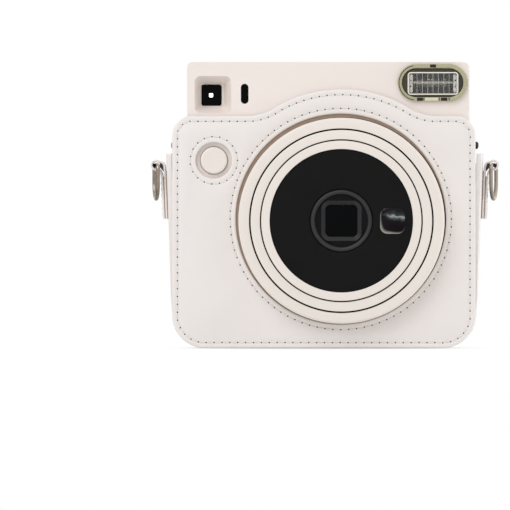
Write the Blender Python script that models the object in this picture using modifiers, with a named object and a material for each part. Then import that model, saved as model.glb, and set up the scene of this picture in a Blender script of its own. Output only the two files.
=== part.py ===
"""Square-format instant camera wearing a leather half-case.

Millimetres below, metres in the scene. The front faces -Y, +Z is up, and the origin is the middle of the
half-case's bottom.
"""
import bmesh
import bpy
from math import atan2, cos, pi, radians, sin, sqrt

MM = 0.001
GAP = 0.3

# Camera body
BODY_HALF = 64.9
BODY_BOTTOM = 2.3
BODY_TOP = 126.7
BODY_CORNER = 12.2
STRIP_LEFT = -60.6
STRIP_RIGHT = 64.2
SHOULDER_LOW = 97.0
SHOULDER_TOP = 101.0
SHOULDER_SOFT = 1.5
SHOULDER_CRISP = 0.5
TOP_CORNER = 2.4
LEAST_CORNER = 0.6
BODY_FRONT = -22.0
BODY_BACK = 22.0
BODY_SPLIT = 6.0
WALL = 2.0

# Half-case
CASE_HALF = 67.2
CASE_TOP = 102.8
CASE_TOP_CORNER = 9.0
CASE_BOTTOM_CORNER = 14.5
CASE_THICK = 2.0
CASE_GAP = 0.4
PANEL_THICK = 2.2
GUSSET_TOP = 86.0
GUSSET_END = 0.4
GUSSET_FLARE = 2.4
GUSSET_REACH = 22.1
ARCH_RADIUS = 58.2
ARCH_FILLET = 22.0
LENS_CUTOUT = 46.9
LENS_CUTOUT_X = 7.65
LENS_CUTOUT_Z = 57.3
BUTTON_CUTOUT = 8.0
BACK_TOP = 86.0
BACK_TOP_CORNER = 6.0
BACK_OPENING_LEFT = -46.5
BACK_OPENING_RIGHT = 54.2
BACK_OPENING_LOW = 5.2
BACK_OPENING_TOP_CORNER = 3.0
BACK_OPENING_CORNER = 4.0
COUNTER_CUTOUT = 5.0
STUD_LEFT = -57.0
STUD_RIGHT = 60.6
STUD_Z = 76.0
STUD_RADIUS = 4.6
STUD_CROWN = 2.6
STUD_RIM = 0.5
STUD_SHOULDER = 1.4
STUD_HEIGHT = 1.6

# Lens, on an axis along Y: radii, and depths as Y values
LENS_X = 7.95
LENS_Z = 56.4
LENS_OPENING = 43.8
MOUNT_OUTER = 43.3
MOUNT_INNER = 41.0
MOUNT_FLANGE = 47.0
MOUNT_FRONT = -31.0
MOUNT_BACK = -8.0
FLANGE_FRONT = -19.7
FLANGE_BACK = -17.5
DIAL_RADIUS = 45.6
DIAL_CHAMFER = 0.8
DIAL_SKIRT = 43.6
DIAL_INNER = 40.8
DIAL_FRONT = -33.0
DIAL_STEP = -31.3
DIAL_BACK = -22.3
MID_RADIUS = 40.3
MID_SKIRT = 38.4
MID_INNER = 36.0
MID_FRONT = -33.6
MID_STEP = -32.0
MID_BACK = -10.0
INNER_RADIUS = 35.6
INNER_SKIRT = 33.6
INNER_INNER = 31.9
INNER_FRONT = -34.2
INNER_STEP = -32.6
INNER_BACK = -12.0
PLATE_RADIUS = 31.6
PLATE_HOLE = 14.3
PLATE_FRONT = -33.4
PLATE_BACK = -31.6
BEZEL_RADIUS = 14.0
BEZEL_HOLE = 17.8
BEZEL_CORNER = 4.2
BEZEL_FRONT = -33.2
BEZEL_BACK = -27.0
WINDOW_SIDE = 17.2
WINDOW_CORNER = 3.9
WINDOW_FRONT = -31.5
WINDOW_BACK = -30.3
CARRIER_RADIUS = 33.2
HOLDER_FRONT = -26.5
HOLDER_STEP = -24.5
HOLDER_BACK = -18.0
HOLDER_OUTER = 10.3
HOLDER_BORE = 8.8
FRONT_LENS = [(0, -26.0), (5, -25.6), (8.4, -24.4), (8.4, -23.6), (0, -22.8)]
REAR_LENS = [(0, -20.8), (4, -20.6), (8.4, -19.6), (8.4, -18.8), (0, -18.8)]
SHUTTER_FRONT = -16.6
SHUTTER_BACK = -15.8
SHUTTER_HOLE = 13.0
SHUTTER_CORNER = 3.0
BLADE_PIVOT = 18.0
BLADE_RADIUS = 8.4
BLADE_ARM = 5.0
BLADE_THICK = 0.6
BLADE_STEP = 0.02
BLADE_DEPTHS = {"left": -15.4, "right": -14.4}
MIRROR_X = 30.6
MIRROR_Z = 56.3
MIRROR_WIDTH = 10.9
MIRROR_HEIGHT = 11.3
MIRROR_CORNER = 2.6
MIRROR_THICK = 0.7

# Top strip
FINDER_X = -50.2
FINDER_Z = 112.0
FINDER_HOLE = 9.4
FINDER_HOLE_FRONT = -15.5
FINDER_HOLE_BACK = -12.0
RECESS_X = FINDER_X + 1.0
RECESS_Z = FINDER_Z + 0.15
RECESS_WIDTH = 16.4
RECESS_HEIGHT = 16.9
RECESS_CORNER = 2.6
RECESS_FLOOR = 9.2
RECESS_FLOOR_CORNER = 1.2
RECESS_DEPTH = -14.0
CUP_WIDTH = 16.8
CUP_HEIGHT = 17.6
CUP_BACK = -13.0
CUP_SINK = 0.2
WINDOW_PANE = 8.9
PANE_FRONT = -14.6
PANE_BACK = -13.4
PANE_CORNER = 1.2
TUNNEL_OUTER = 11.0
TUNNEL_BORE = 9.0
TUNNEL_FRONT = -12.6
TUNNEL_BACK = 19.6
EYEPIECE_SIDE = 9.4
EYEPIECE_HOLE = 10.0
EYEPIECE_HOLE_CORNER = 1.5
EYEPIECE_FRONT = 20.0
EYEPIECE_BACK = 21.4
SENSOR_X = -35.1
SENSOR_Z = 112.6
SENSOR_WIDTH = 2.8
SENSOR_HEIGHT = 8.3
SENSOR_FRONT = -21.8
SENSOR_BACK = -20.4
FLASH_X = 48.2
FLASH_Z = 117.5
FLASH_LENGTH = 31.0
FLASH_HEIGHT = 16.6
FLASH_FRONT = -23.9
FLASH_BACK = -22.3
FLASH_HOLE_LENGTH = 27.5
FLASH_HOLE_HEIGHT = 13.2
POT_HALF_LENGTH = 11.7
POT_HALF_HEIGHT = 5.6
POT_FRONT = -19.7
POT_BACK = -9.7
TROUGH_FRONT = (-20.0, 22.4, 10.2, 0.8)
TROUGH_BACK = (-12.0, 14.0, 3.4, 0.8)
TUBE_Y = -13.7
TUBE_RADIUS = 1.2
TUBE_HALF = 6.2
CAPACITOR_Z = 113.0
CAPACITOR_RADIUS = 5.5
CAPACITOR_LEFT = -25.0
CAPACITOR_RIGHT = 15.0
BUTTON_X = -48.7
BUTTON_Z = 83.1
BUTTON_RADIUS = 6.0
BUTTON_FRONT = -24.0
BUTTON_CHAMFER = 0.6
BUTTON_FLANGE = 7.6
BUTTON_FLANGE_FRONT = -19.7
BUTTON_FLANGE_BACK = -18.5
BUTTON_STEM = 2.0
BUTTON_BACK = -15.5
SWITCH_BOX = ((-51.5, -46.0), (-14.0, -10.3), (80.3, 85.9))
BOARD_BOX = ((-60.0, -38.0), (-10.0, -8.8), (65.0, 95.0))

# Film path and its gear train
FILM_HALF = 38.5
CHAMBER_MARGIN = 2.85
CHAMBER_DROP = 0.4
CHAMBER_HEIGHT = 97.2
CHAMBER_CORNER = 1.5
CHAMBER_FRONT = -0.5
CHAMBER_BACK = 18.8
CHAMBER_WALL = 2.0
APERTURE_SIDE = 62.0
HOLLOW_DEPTHS = (1.0, 21.0)
HOLLOW_HEIGHTS = (8.4, 103.6)
EXIT_INSET = 3.0
EXIT_DEPTHS = (1.2, 3.8)
EXIT_HEIGHTS = (102.0, 107.0)
PACK_DEPTHS = (1.6, 18.3)
PACK_HEIGHTS = (9.0, 103.0)
CONE_FRONT = (-7.0, 36.0, 36.0, 1.0)
CONE_BACK = (-0.8, 68.0, 68.0, 1.0)
CONE_HOLLOW_FRONT = (-7.7, 28.4, 28.4, 1.0)
CONE_HOLLOW_BACK = (-0.1, 67.6, 67.6, 1.0)
ROLLER_Z = 109.5
DRIVE_Y = 7.0
PINCH_Y = -2.0
ROLLER_RADIUS = 4.3
ROLLER_OVERHANG = 2.0
ROLLER_SHAFT = 1.5
PINCH_SHAFT_END = 53.0
GEAR_MODULE = 0.75
TOOTH_ROOT = 1.1
TOOTH_TIP = 0.65
TOOTH_SHAPE = ((0, -0.27), (1, -0.10), (1, 0.10), (0, 0.27))
GEAR_LEFT = 56.2
GEAR_RIGHT = 59.2
GEAR_BITE = 1.0
PAIR_LEFT = -41.0
PAIR_RIGHT = -38.6
ROLLER_TEETH = 12
IDLER_TEETH = 30
IDLER_SHAFT = 1.2
IDLER_SHAFT_LEFT = 50.0
PINION_TEETH = 10
PINION_SHAFT = 1.0
PINION_SHAFT_LEFT = 50.6
PINION_Y = -11.0
PINION_Z = 99.0
MOTOR_RADIUS = 6.0
MOTOR_LEFT = 33.5
MOTOR_RIGHT = 50.2
BEARING_CLEARANCE = 0.4
FRAME_Y = 2.5
FRAME_DEPTH = 22.0
FRAME_CORNER = 0.5
FRAME_LEFT_Z = 110.6
FRAME_LEFT_HEIGHT = 10.8
FRAME_LEFT_SPAN = (-36.6, -35.1)
FRAME_RIGHT_Z = 103.0
FRAME_RIGHT_HEIGHT = 26.0
FRAME_RIGHT_SPAN = (50.6, 52.1)
FRAME_BAR_BOX = ((-36.2, 51.6), (12.3, 13.3), (106.0, 115.5))
SLOT_FRONT = 0.5
SLOT_BACK = 4.5
SLOT_DEPTH = 4.0
FLAP_MARGIN = 0.4
FLAP_LOW = BODY_TOP - 1.5
FLAP_HIGH = BODY_TOP - 0.4

# Back
DOOR_LEFT = -35.4
DOOR_RIGHT = 50.9
DOOR_LOW = 7.0
DOOR_HIGH = 105.1
DOOR_X = (DOOR_LEFT + DOOR_RIGHT) / 2
DOOR_Z = (DOOR_LOW + DOOR_HIGH) / 2
DOOR_WIDTH = DOOR_RIGHT - DOOR_LEFT
DOOR_HEIGHT = DOOR_HIGH - DOOR_LOW
DOOR_CORNER = 3.0
DOOR_HOLE_WIDER = 1.1
DOOR_HOLE_TALLER = 0.9
DOOR_HOLE_CORNER = 3.4
DOOR_INNER = 20.3
DOOR_OUTER = 23.6
FILM_WINDOW_X = -20.0
FILM_WINDOW_WIDTH = 7.4
FILM_WINDOW_HEIGHT = 23.4
FILM_WINDOW_CORNER = 1.2
FILM_WINDOW_FRONT = 21.4
FILM_WINDOW_BACK = 23.0
HINGE_X = 51.7
HINGE_Y = 23.9
KNUCKLE_RADIUS = 1.5
PIN_RADIUS = 0.65
PIN_LOW = 11.4
PIN_HIGH = 92.6
BORE_LOW = 5.0
BORE_HIGH = 100.0
FOOT_X = (51.6, 53.1)
FOOT_FRONT = 20.4
COVER_BARRELS = ((12.0, 20.0), (84.0, 92.0))
DOOR_BARRELS = ((20.4, 32.0), (72.0, 83.6))
NOTCH_X = (49.8, 53.0)
NOTCH_Y = (19.0, 26.0)
NOTCH_GAP = 0.2
LATCH_X = -40.5
LATCH_Z = 57.0
LATCH_TRAVEL = 4.0
LATCH_SLOT_WIDTH = 2.8
LATCH_SLOT_HEIGHT = 10.8
LATCH_SLOT_CORNER = 0.5
KNOB_HALF = (2.3, 5.0)
KNOB_Y = (22.3, 24.0)
STEM_HALF = (1.1, 3.0)
STEM_Y = (18.6, 22.8)
LATCH_PLATE_HALF = (2.8, 6.0)
LATCH_PLATE_Y = (18.2, 19.6)
COUNTER_X = -55.0
COUNTER_Z = 40.0
COUNTER_OFFSET = 3.0
COUNTER_RADIUS = 6.5
COUNTER_FRONT = 18.0
COUNTER_BACK = 19.0
COUNTER_PANE = 3.0
COUNTER_PANE_FRONT = 20.2
COUNTER_PANE_BACK = 21.8

# Battery
CELL_X = -45.0
CELL_Y = -6.5
CELL_RADIUS = 7.7
CELL_LENGTH = 27.0
CELL_LOW = 5.2
HOLDER_SIDE = 18.0
HOLDER_WALL = 1.0
BATTERY_HOLDER_LOW = 5.0
BATTERY_HOLDER_HIGH = 62.5
BATTERY_DOOR_X = (CELL_X - 9.0, CELL_X + 9.0)
BATTERY_DOOR_Y = (-15.6, 2.6)
BATTERY_DOOR_THICK = 1.8
BATTERY_DOOR_EDGE = 0.3
BATTERY_OPENING_BOX = ((CELL_X - 10.0, CELL_X + 9.6), (-16.0, 3.0), (0.0, 6.0))
BATTERY_CUTOUT_BOX = ((CELL_X - 11.2, CELL_X + 10.6), (-17.0, 4.0), (-1.0, 3.0))

# Strap lugs, tabs and rings
LUG_REACH = 3.4
LUG_HALF = 3.2
LUG_LOW = 87.8
LUG_HIGH = 91.8
LUG_EDGE = 0.6
RING_X = 75.0
RING_Z = 81.0
RING_WIRE = 1.0
RING_HALF = 7.6
RING_DROP = 15.0
RING_BEND = 2.0
RING_TWIST = 4.0
EYE_CLEARANCE = 0.7
TAB_FOOT_Z = 57.4
TAB_SHOULDER_Z = RING_Z + 1.0
TAB_FOOT = CASE_HALF + GAP + GUSSET_FLARE * TAB_FOOT_Z / GUSSET_TOP
TAB_SHOULDER = CASE_HALF + GAP + GUSSET_FLARE * TAB_SHOULDER_Z / GUSSET_TOP
TAB_HALF = 5.2
TAB_OUTLINE = [(TAB_FOOT, TAB_FOOT_Z, 0.6), (TAB_FOOT + 1.6, TAB_FOOT_Z - 0.6, 0.6),
               (TAB_SHOULDER + 2.2, 75.0, 2.0), (RING_X + 2.3, 77.6, 2.4), (RING_X + 2.5, RING_Z + 2.9, 2.4),
               (RING_X - 2.2, RING_Z + 3.2, 1.2), (TAB_SHOULDER, TAB_SHOULDER_Z, 0.6)]

ROUND = 48
MEDIUM = 24
SMALL = 20
FEW = 12
AXIS_TURN = {"X": (pi / 2, 0, pi / 2), "Y": (pi / 2, 0, 0), "Z": (0, 0, 0)}
FINISHES = {
    "white_shell": ((0.85, 0.77, 0.72), 0.42, 0.0),
    "white_ring": ((0.81, 0.76, 0.70), 0.38, 0.0),
    "white_leather": ((0.84, 0.79, 0.77), 0.55, 0.0),
    "black_gloss": ((0.010, 0.010, 0.010), 0.20, 0.0),
    "black_plastic": ((0.020, 0.019, 0.018), 0.50, 0.0),
    "grey_plastic": ((0.12, 0.12, 0.12), 0.55, 0.0),
    "clear": ((0.80, 0.82, 0.74), 0.08, 0.0),
    "dark_glass": ((0.004, 0.004, 0.005), 0.05, 0.0),
    "mirror": ((0.75, 0.76, 0.77), 0.05, 1.0),
    "steel": ((0.55, 0.52, 0.48), 0.25, 1.0),
    "reflector": ((0.80, 0.78, 0.72), 0.18, 1.0),
    "board": ((0.02, 0.09, 0.04), 0.50, 0.0),
    "rubber": ((0.015, 0.015, 0.015), 0.80, 0.0),
    "cell_wrap": ((0.05, 0.07, 0.16), 0.35, 0.2),
}

for old in list(bpy.data.objects):
    bpy.data.objects.remove(old, do_unlink=True)


def new_collection(name):
    """Link a new collection to the scene."""
    made = bpy.data.collections.new(name)
    bpy.context.scene.collection.children.link(made)
    return made


PARTS = new_collection("instant_camera")
CUTTERS = new_collection("cutters")


def make_material(name):
    """Make the Principled material of one finish."""
    colour, roughness, metallic = FINISHES[name]
    made = bpy.data.materials.new(name)
    made.use_nodes = True
    shader = made.node_tree.nodes["Principled BSDF"]
    shader.inputs["Base Color"].default_value = (*colour, 1.0)
    shader.inputs["Roughness"].default_value = roughness
    shader.inputs["Metallic"].default_value = metallic
    return made


MATERIALS = {name: make_material(name) for name in FINISHES}


def arc(x, y, radius, start, end, steps):
    """Points on a circle from one angle to another, in degrees, both ends kept."""
    angles = [radians(start + (end - start) * i / steps) for i in range(steps + 1)]
    return [(x + radius * cos(a), y + radius * sin(a)) for a in angles]


def circle(x, y, radius, steps=ROUND):
    """A closed circle."""
    return arc(x, y, radius, 0, 360, steps)[:-1]


def rounded(corners, steps=5):
    """An outline through (x, y, radius) corners, each rounded by an arc."""
    points = []
    for i, (x, y, radius) in enumerate(corners):
        before = corners[i - 1]
        after = corners[(i + 1) % len(corners)]
        back = atan2(before[1] - y, before[0] - x)
        ahead = atan2(after[1] - y, after[0] - x)
        turn = (ahead - back + pi) % (2 * pi) - pi
        reach = radius / abs(sin(turn / 2))
        middle = back + turn / 2
        centre = (x + reach * cos(middle), y + reach * sin(middle))
        sweep = (pi - abs(turn)) * (1 if turn > 0 else -1)
        first = middle + pi + sweep / 2
        for step in range(steps + 1):
            angle = first - sweep * step / steps
            points.append((centre[0] + radius * cos(angle), centre[1] + radius * sin(angle)))
    return points


def block(x, y, width, height, radius, steps=4):
    """A rectangle outline with round corners, about a centre."""
    a, b = width / 2, height / 2
    return rounded([(x - a, y - b, radius), (x + a, y - b, radius),
                    (x + a, y + b, radius), (x - a, y + b, radius)], steps)


def stadium(x, y, width, height, steps=8):
    """A rectangle outline with fully round ends."""
    return block(x, y, width, height, min(width, height) / 2 - 0.01, steps)


def adopt(name, mesh, finish):
    """Make a part object of a mesh."""
    part = bpy.data.objects.new(name, mesh)
    mesh.materials.clear()
    mesh.materials.append(MATERIALS[finish])
    PARTS.objects.link(part)
    return part


def plate(name, outlines, low, high, finish, axis="Y"):
    """Extrude flat outlines along an axis; the outlines after the first are holes."""
    curve = bpy.data.curves.new(name + "_outline", "CURVE")
    curve.dimensions = "2D"
    curve.fill_mode = "BOTH"
    curve.extrude = (high - low) / 2 * MM
    for outline in outlines:
        spline = curve.splines.new("POLY")
        spline.points.add(len(outline) - 1)
        for point, (a, b) in zip(spline.points, outline):
            point.co = (a * MM, b * MM, 0, 1)
        spline.use_cyclic_u = True
    drawn = bpy.data.objects.new(name + "_drawn", curve)
    PARTS.objects.link(drawn)
    drawn.rotation_euler = AXIS_TURN[axis]
    drawn.location["XYZ".index(axis)] = (low + high) / 2 * MM
    bpy.context.view_layer.update()
    evaluated = drawn.evaluated_get(bpy.context.evaluated_depsgraph_get())
    mesh = bpy.data.meshes.new_from_object(evaluated)
    work = bmesh.new()
    work.from_mesh(mesh)
    bmesh.ops.remove_doubles(work, verts=work.verts, dist=1e-6)
    work.to_mesh(mesh)
    work.free()
    part = adopt(name, mesh, finish)
    part.matrix_world = drawn.matrix_world
    bpy.data.objects.remove(drawn, do_unlink=True)
    return part


def turned(name, profile, finish, centre=(LENS_X, LENS_Z), steps=ROUND, ring=True):
    """Turn a (radius, depth) profile about an axis along Y; its outer side runs to greater depth."""
    mesh = bpy.data.meshes.new(name)
    count = len(profile)
    edges = [(i, i + 1) for i in range(count - 1)]
    if ring:
        edges.append((count - 1, 0))
    mesh.from_pydata([(radius * MM, 0, -depth * MM) for radius, depth in profile], edges, [])
    part = adopt(name, mesh, finish)
    part.rotation_euler = AXIS_TURN["Y"]
    part.location = (centre[0] * MM, 0, centre[1] * MM)
    screw = part.modifiers.new("turn", "SCREW")
    screw.steps = steps
    screw.render_steps = steps
    screw.use_merge_vertices = True
    screw.merge_threshold = 1e-6
    screw.use_smooth_shade = True
    return part


def rod(name, axis, centre, radius, low, high, finish, steps=SMALL):
    """A plain round rod along an axis."""
    return plate(name, [circle(*centre, radius, steps)], low, high, finish, axis)


def box(name, x, y, z, finish, bevel=0.0):
    """A box between low and high values on each axis."""
    work = bmesh.new()
    bmesh.ops.create_cube(work, size=MM)
    for vert in work.verts:
        for i, (low, high) in enumerate((x, y, z)):
            vert.co[i] = low * MM if vert.co[i] < 0 else high * MM
    mesh = bpy.data.meshes.new(name)
    work.to_mesh(mesh)
    work.free()
    part = adopt(name, mesh, finish)
    if bevel:
        soft = part.modifiers.new("soft_edges", "BEVEL")
        soft.width = bevel * MM
        soft.segments = 2
    return part


def taper(name, centre, front, back, finish, steps=1):
    """A taper along Y between two (depth, width, height, corner) rectangles on one centre line."""
    work = bmesh.new()
    loops = []
    for depth, width, height, corner in (front, back):
        outline = block(*centre, width, height, corner, steps)
        loops.append([work.verts.new((x * MM, depth * MM, z * MM)) for x, z in outline])
    first, second = loops
    for i in range(len(first)):
        work.faces.new((first[i - 1], first[i], second[i], second[i - 1]))
    for loop in loops:
        work.faces.new(loop)
    bmesh.ops.recalc_face_normals(work, faces=work.faces)
    mesh = bpy.data.meshes.new(name)
    work.to_mesh(mesh)
    work.free()
    return adopt(name, mesh, finish)


def combine(target, tool, operation):
    """Join or cut a part with another shape, which then stays as a hidden guide."""
    step = target.modifiers.new(operation.lower(), "BOOLEAN")
    step.operation = operation
    step.solver = "EXACT"
    step.object = tool
    tool.hide_render = True
    tool.display_type = "WIRE"
    PARTS.objects.unlink(tool)
    CUTTERS.objects.link(tool)
    return target


def cut(target, tool):
    """Take a shape out of a part."""
    return combine(target, tool, "DIFFERENCE")


def join(target, tool):
    """Fuse a shape into a part."""
    return combine(target, tool, "UNION")


def body_outline(inset):
    """The camera's front outline, drawn in by a wall."""
    half = BODY_HALF - inset
    low = BODY_BOTTOM + inset
    top = BODY_TOP - inset
    left = STRIP_LEFT + inset
    right = STRIP_RIGHT - inset
    corner = BODY_CORNER - inset
    edge = max(TOP_CORNER - inset, LEAST_CORNER)
    return rounded([(-half, low, corner), (half, low, corner), (half, SHOULDER_LOW, SHOULDER_CRISP),
                    (right, SHOULDER_TOP, SHOULDER_CRISP), (right, top, edge), (left, top, edge),
                    (left, SHOULDER_TOP, SHOULDER_SOFT), (-half, SHOULDER_LOW, SHOULDER_SOFT)])


def around(middle, half):
    """The low and high value about a middle."""
    return (middle - half, middle + half)


def make_front_cover():
    """Front shell with its openings, the finder recess, the film slot and the battery opening."""
    holes = [circle(LENS_X, LENS_Z, LENS_OPENING), circle(BUTTON_X, BUTTON_Z, BUTTON_RADIUS + GAP, SMALL),
             stadium(SENSOR_X, SENSOR_Z, SENSOR_WIDTH + 2 * GAP, SENSOR_HEIGHT + 2 * GAP),
             stadium(FLASH_X, FLASH_Z, FLASH_HOLE_LENGTH, FLASH_HOLE_HEIGHT)]
    cover = plate("front_cover", [body_outline(0)] + holes, BODY_FRONT, BODY_SPLIT, "white_shell")
    cavity = [body_outline(WALL)]
    cut(cover, plate("front_cavity", cavity, BODY_FRONT + WALL, BODY_SPLIT + GAP, "white_shell"))
    cup_x = around(RECESS_X, CUP_WIDTH / 2)
    cup_z = around(RECESS_Z, CUP_HEIGHT / 2)
    join(cover, box("finder_cup", cup_x, (BODY_FRONT + CUP_SINK, CUP_BACK), cup_z, "white_shell"))
    mouth = (BODY_FRONT - CUP_SINK, RECESS_WIDTH, RECESS_HEIGHT, RECESS_CORNER)
    floor = (RECESS_DEPTH, RECESS_FLOOR, RECESS_FLOOR, RECESS_FLOOR_CORNER)
    cut(cover, taper("finder_taper", (RECESS_X, RECESS_Z), mouth, floor, "white_shell", 5))
    hole = block(FINDER_X, FINDER_Z, FINDER_HOLE, FINDER_HOLE, PANE_CORNER)
    cut(cover, plate("finder_opening", [hole], FINDER_HOLE_FRONT, FINDER_HOLE_BACK, "white_shell"))
    slot_x = around(LENS_X, FILM_HALF)
    slot_z = around(BODY_TOP, SLOT_DEPTH)
    cut(cover, box("film_slot", slot_x, (SLOT_FRONT, SLOT_BACK), slot_z, "white_shell"))
    cut(cover, box("battery_opening", *BATTERY_OPENING_BOX, "white_shell"))


def knuckle(name, low, high, finish):
    """One barrel of the film door's hinge."""
    return rod(name, "Z", (HINGE_X, HINGE_Y), KNUCKLE_RADIUS, low, high, finish, FEW)


def hinge_bore(name):
    """The hole that the hinge pin runs in."""
    return rod(name, "Z", (HINGE_X, HINGE_Y), PIN_RADIUS + GAP, BORE_LOW, BORE_HIGH, "steel", FEW)


def make_rear_cover():
    """Rear shell with the film door's frame, hinge barrels, eyepiece, counter hole and latch slot."""
    width = DOOR_WIDTH + DOOR_HOLE_WIDER
    height = DOOR_HEIGHT + DOOR_HOLE_TALLER
    holes = [block(DOOR_X, DOOR_Z, width, height, DOOR_HOLE_CORNER),
             block(FINDER_X, FINDER_Z, EYEPIECE_HOLE, EYEPIECE_HOLE, EYEPIECE_HOLE_CORNER),
             circle(COUNTER_X, COUNTER_Z, COUNTER_PANE + GAP, SMALL),
             block(LATCH_X, LATCH_Z + LATCH_TRAVEL / 2, LATCH_SLOT_WIDTH, LATCH_SLOT_HEIGHT,
                   LATCH_SLOT_CORNER)]
    cover = plate("rear_cover", [body_outline(0)] + holes, BODY_SPLIT + GAP, BODY_BACK, "white_shell")
    cut(cover, plate("rear_cavity", [body_outline(WALL)], BODY_SPLIT, BODY_BACK - WALL, "white_shell"))
    for i, (low, high) in enumerate(COVER_BARRELS):
        join(cover, box(f"hinge_foot_{i}", FOOT_X, (FOOT_FRONT, HINGE_Y), (low, high), "white_shell"))
        join(cover, knuckle(f"hinge_barrel_{i}", low, high, "white_shell"))
    cut(cover, hinge_bore("cover_bore"))


def make_film_door():
    """Film door with two hinge barrels and its small film window, and the pin."""
    panel = block(DOOR_X, DOOR_Z, DOOR_WIDTH, DOOR_HEIGHT, DOOR_CORNER)
    hole = block(FILM_WINDOW_X, DOOR_Z, FILM_WINDOW_WIDTH + 2 * GAP, FILM_WINDOW_HEIGHT + 2 * GAP,
                 FILM_WINDOW_CORNER + GAP)
    door = plate("film_door", [panel, hole], DOOR_INNER, DOOR_OUTER, "white_shell")
    for i, (low, high) in enumerate(DOOR_BARRELS):
        join(door, knuckle(f"door_barrel_{i}", low, high, "white_shell"))
    cut(door, hinge_bore("door_bore"))
    for i, (low, high) in enumerate(COVER_BARRELS):
        notch_z = (low - NOTCH_GAP, high + NOTCH_GAP)
        cut(door, box(f"barrel_notch_{i}", NOTCH_X, NOTCH_Y, notch_z, "white_shell"))
    pane = block(FILM_WINDOW_X, DOOR_Z, FILM_WINDOW_WIDTH, FILM_WINDOW_HEIGHT, FILM_WINDOW_CORNER)
    plate("film_window", [pane], FILM_WINDOW_FRONT, FILM_WINDOW_BACK, "dark_glass")
    rod("door_hinge_pin", "Z", (HINGE_X, HINGE_Y), PIN_RADIUS, PIN_LOW, PIN_HIGH, "steel", FEW)


def latch_block(name, half, depths):
    """One block of the door latch, about its middle."""
    return box(name, around(LATCH_X, half[0]), depths, around(LATCH_Z, half[1]), "grey_plastic")


def make_door_latch():
    """Sliding latch: a knob outside, a stem through the slot and a plate inside."""
    latch = latch_block("door_latch", KNOB_HALF, KNOB_Y)
    join(latch, latch_block("latch_stem", STEM_HALF, STEM_Y))
    join(latch, latch_block("latch_plate", LATCH_PLATE_HALF, LATCH_PLATE_Y))


def case_front_outline():
    """Front panel: round corners and an arch over the lens that runs into the flat top by two fillets."""
    rise = CASE_TOP + ARCH_FILLET - LENS_Z
    reach = sqrt((ARCH_RADIUS + ARCH_FILLET) ** 2 - rise ** 2)
    lean = 180 / pi * atan2(rise, reach)
    fillet_z = CASE_TOP + ARCH_FILLET
    low = CASE_BOTTOM_CORNER
    high = CASE_TOP_CORNER
    points = arc(CASE_HALF - low, low, low, -90, 0, 6)
    points += arc(CASE_HALF - high, CASE_TOP - high, high, 0, 90, 5)
    points += arc(LENS_X + reach, fillet_z, ARCH_FILLET, 270, 180 + lean, 4)
    points += arc(LENS_X, LENS_Z, ARCH_RADIUS, lean, 180 - lean, 18)[1:-1]
    points += arc(LENS_X - reach, fillet_z, ARCH_FILLET, 360 - lean, 270, 4)
    points += arc(high - CASE_HALF, CASE_TOP - high, high, 90, 180, 5)
    points += arc(low - CASE_HALF, low, low, 180, 270, 6)
    return points


def make_case():
    """Leather half-case: front panel, gusset, back panel and its two press studs."""
    front = BODY_FRONT - CASE_GAP
    holes = [circle(LENS_CUTOUT_X, LENS_CUTOUT_Z, LENS_CUTOUT),
             circle(BUTTON_X, BUTTON_Z, BUTTON_CUTOUT, SMALL)]
    plate("case_front_panel", [case_front_outline()] + holes, front - PANEL_THICK, front, "white_leather")
    inner = CASE_HALF - CASE_THICK
    soft = CASE_BOTTOM_CORNER
    tight = soft - CASE_THICK
    mouth = CASE_HALF + GUSSET_FLARE
    lip = inner + GUSSET_FLARE
    band = rounded([(-CASE_HALF, 0, soft), (CASE_HALF, 0, soft), (mouth, GUSSET_TOP, GUSSET_END),
                    (lip, GUSSET_TOP, GUSSET_END), (inner, CASE_THICK, tight), (-inner, CASE_THICK, tight),
                    (-lip, GUSSET_TOP, GUSSET_END), (-mouth, GUSSET_TOP, GUSSET_END)])
    gusset = plate("case_gusset", [band], -GUSSET_REACH, GUSSET_REACH, "white_leather")
    cut(gusset, box("battery_cutout", *BATTERY_CUTOUT_BOX, "white_leather"))
    frame = rounded([(-CASE_HALF, 0, soft), (CASE_HALF, 0, soft), (CASE_HALF, BACK_TOP, BACK_TOP_CORNER),
                     (BACK_OPENING_RIGHT, BACK_TOP, BACK_OPENING_TOP_CORNER),
                     (BACK_OPENING_RIGHT, BACK_OPENING_LOW, BACK_OPENING_CORNER),
                     (BACK_OPENING_LEFT, BACK_OPENING_LOW, BACK_OPENING_CORNER),
                     (BACK_OPENING_LEFT, BACK_TOP, BACK_OPENING_TOP_CORNER),
                     (-CASE_HALF, BACK_TOP, BACK_TOP_CORNER)])
    back = BODY_BACK + CASE_GAP
    peephole = circle(COUNTER_X, COUNTER_Z, COUNTER_CUTOUT, SMALL)
    plate("case_back_panel", [frame, peephole], back, back + PANEL_THICK, "white_leather")
    base = back + PANEL_THICK + GAP
    stud = [(0, base), (STUD_RADIUS, base), (STUD_RADIUS, base + STUD_RIM), (STUD_CROWN, base + STUD_SHOULDER),
            (0, base + STUD_HEIGHT)]
    for side, x in (("left", STUD_LEFT), ("right", STUD_RIGHT)):
        turned(f"press_stud_{side}", stud, "steel", (x, STUD_Z), SMALL, ring=False)


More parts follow.
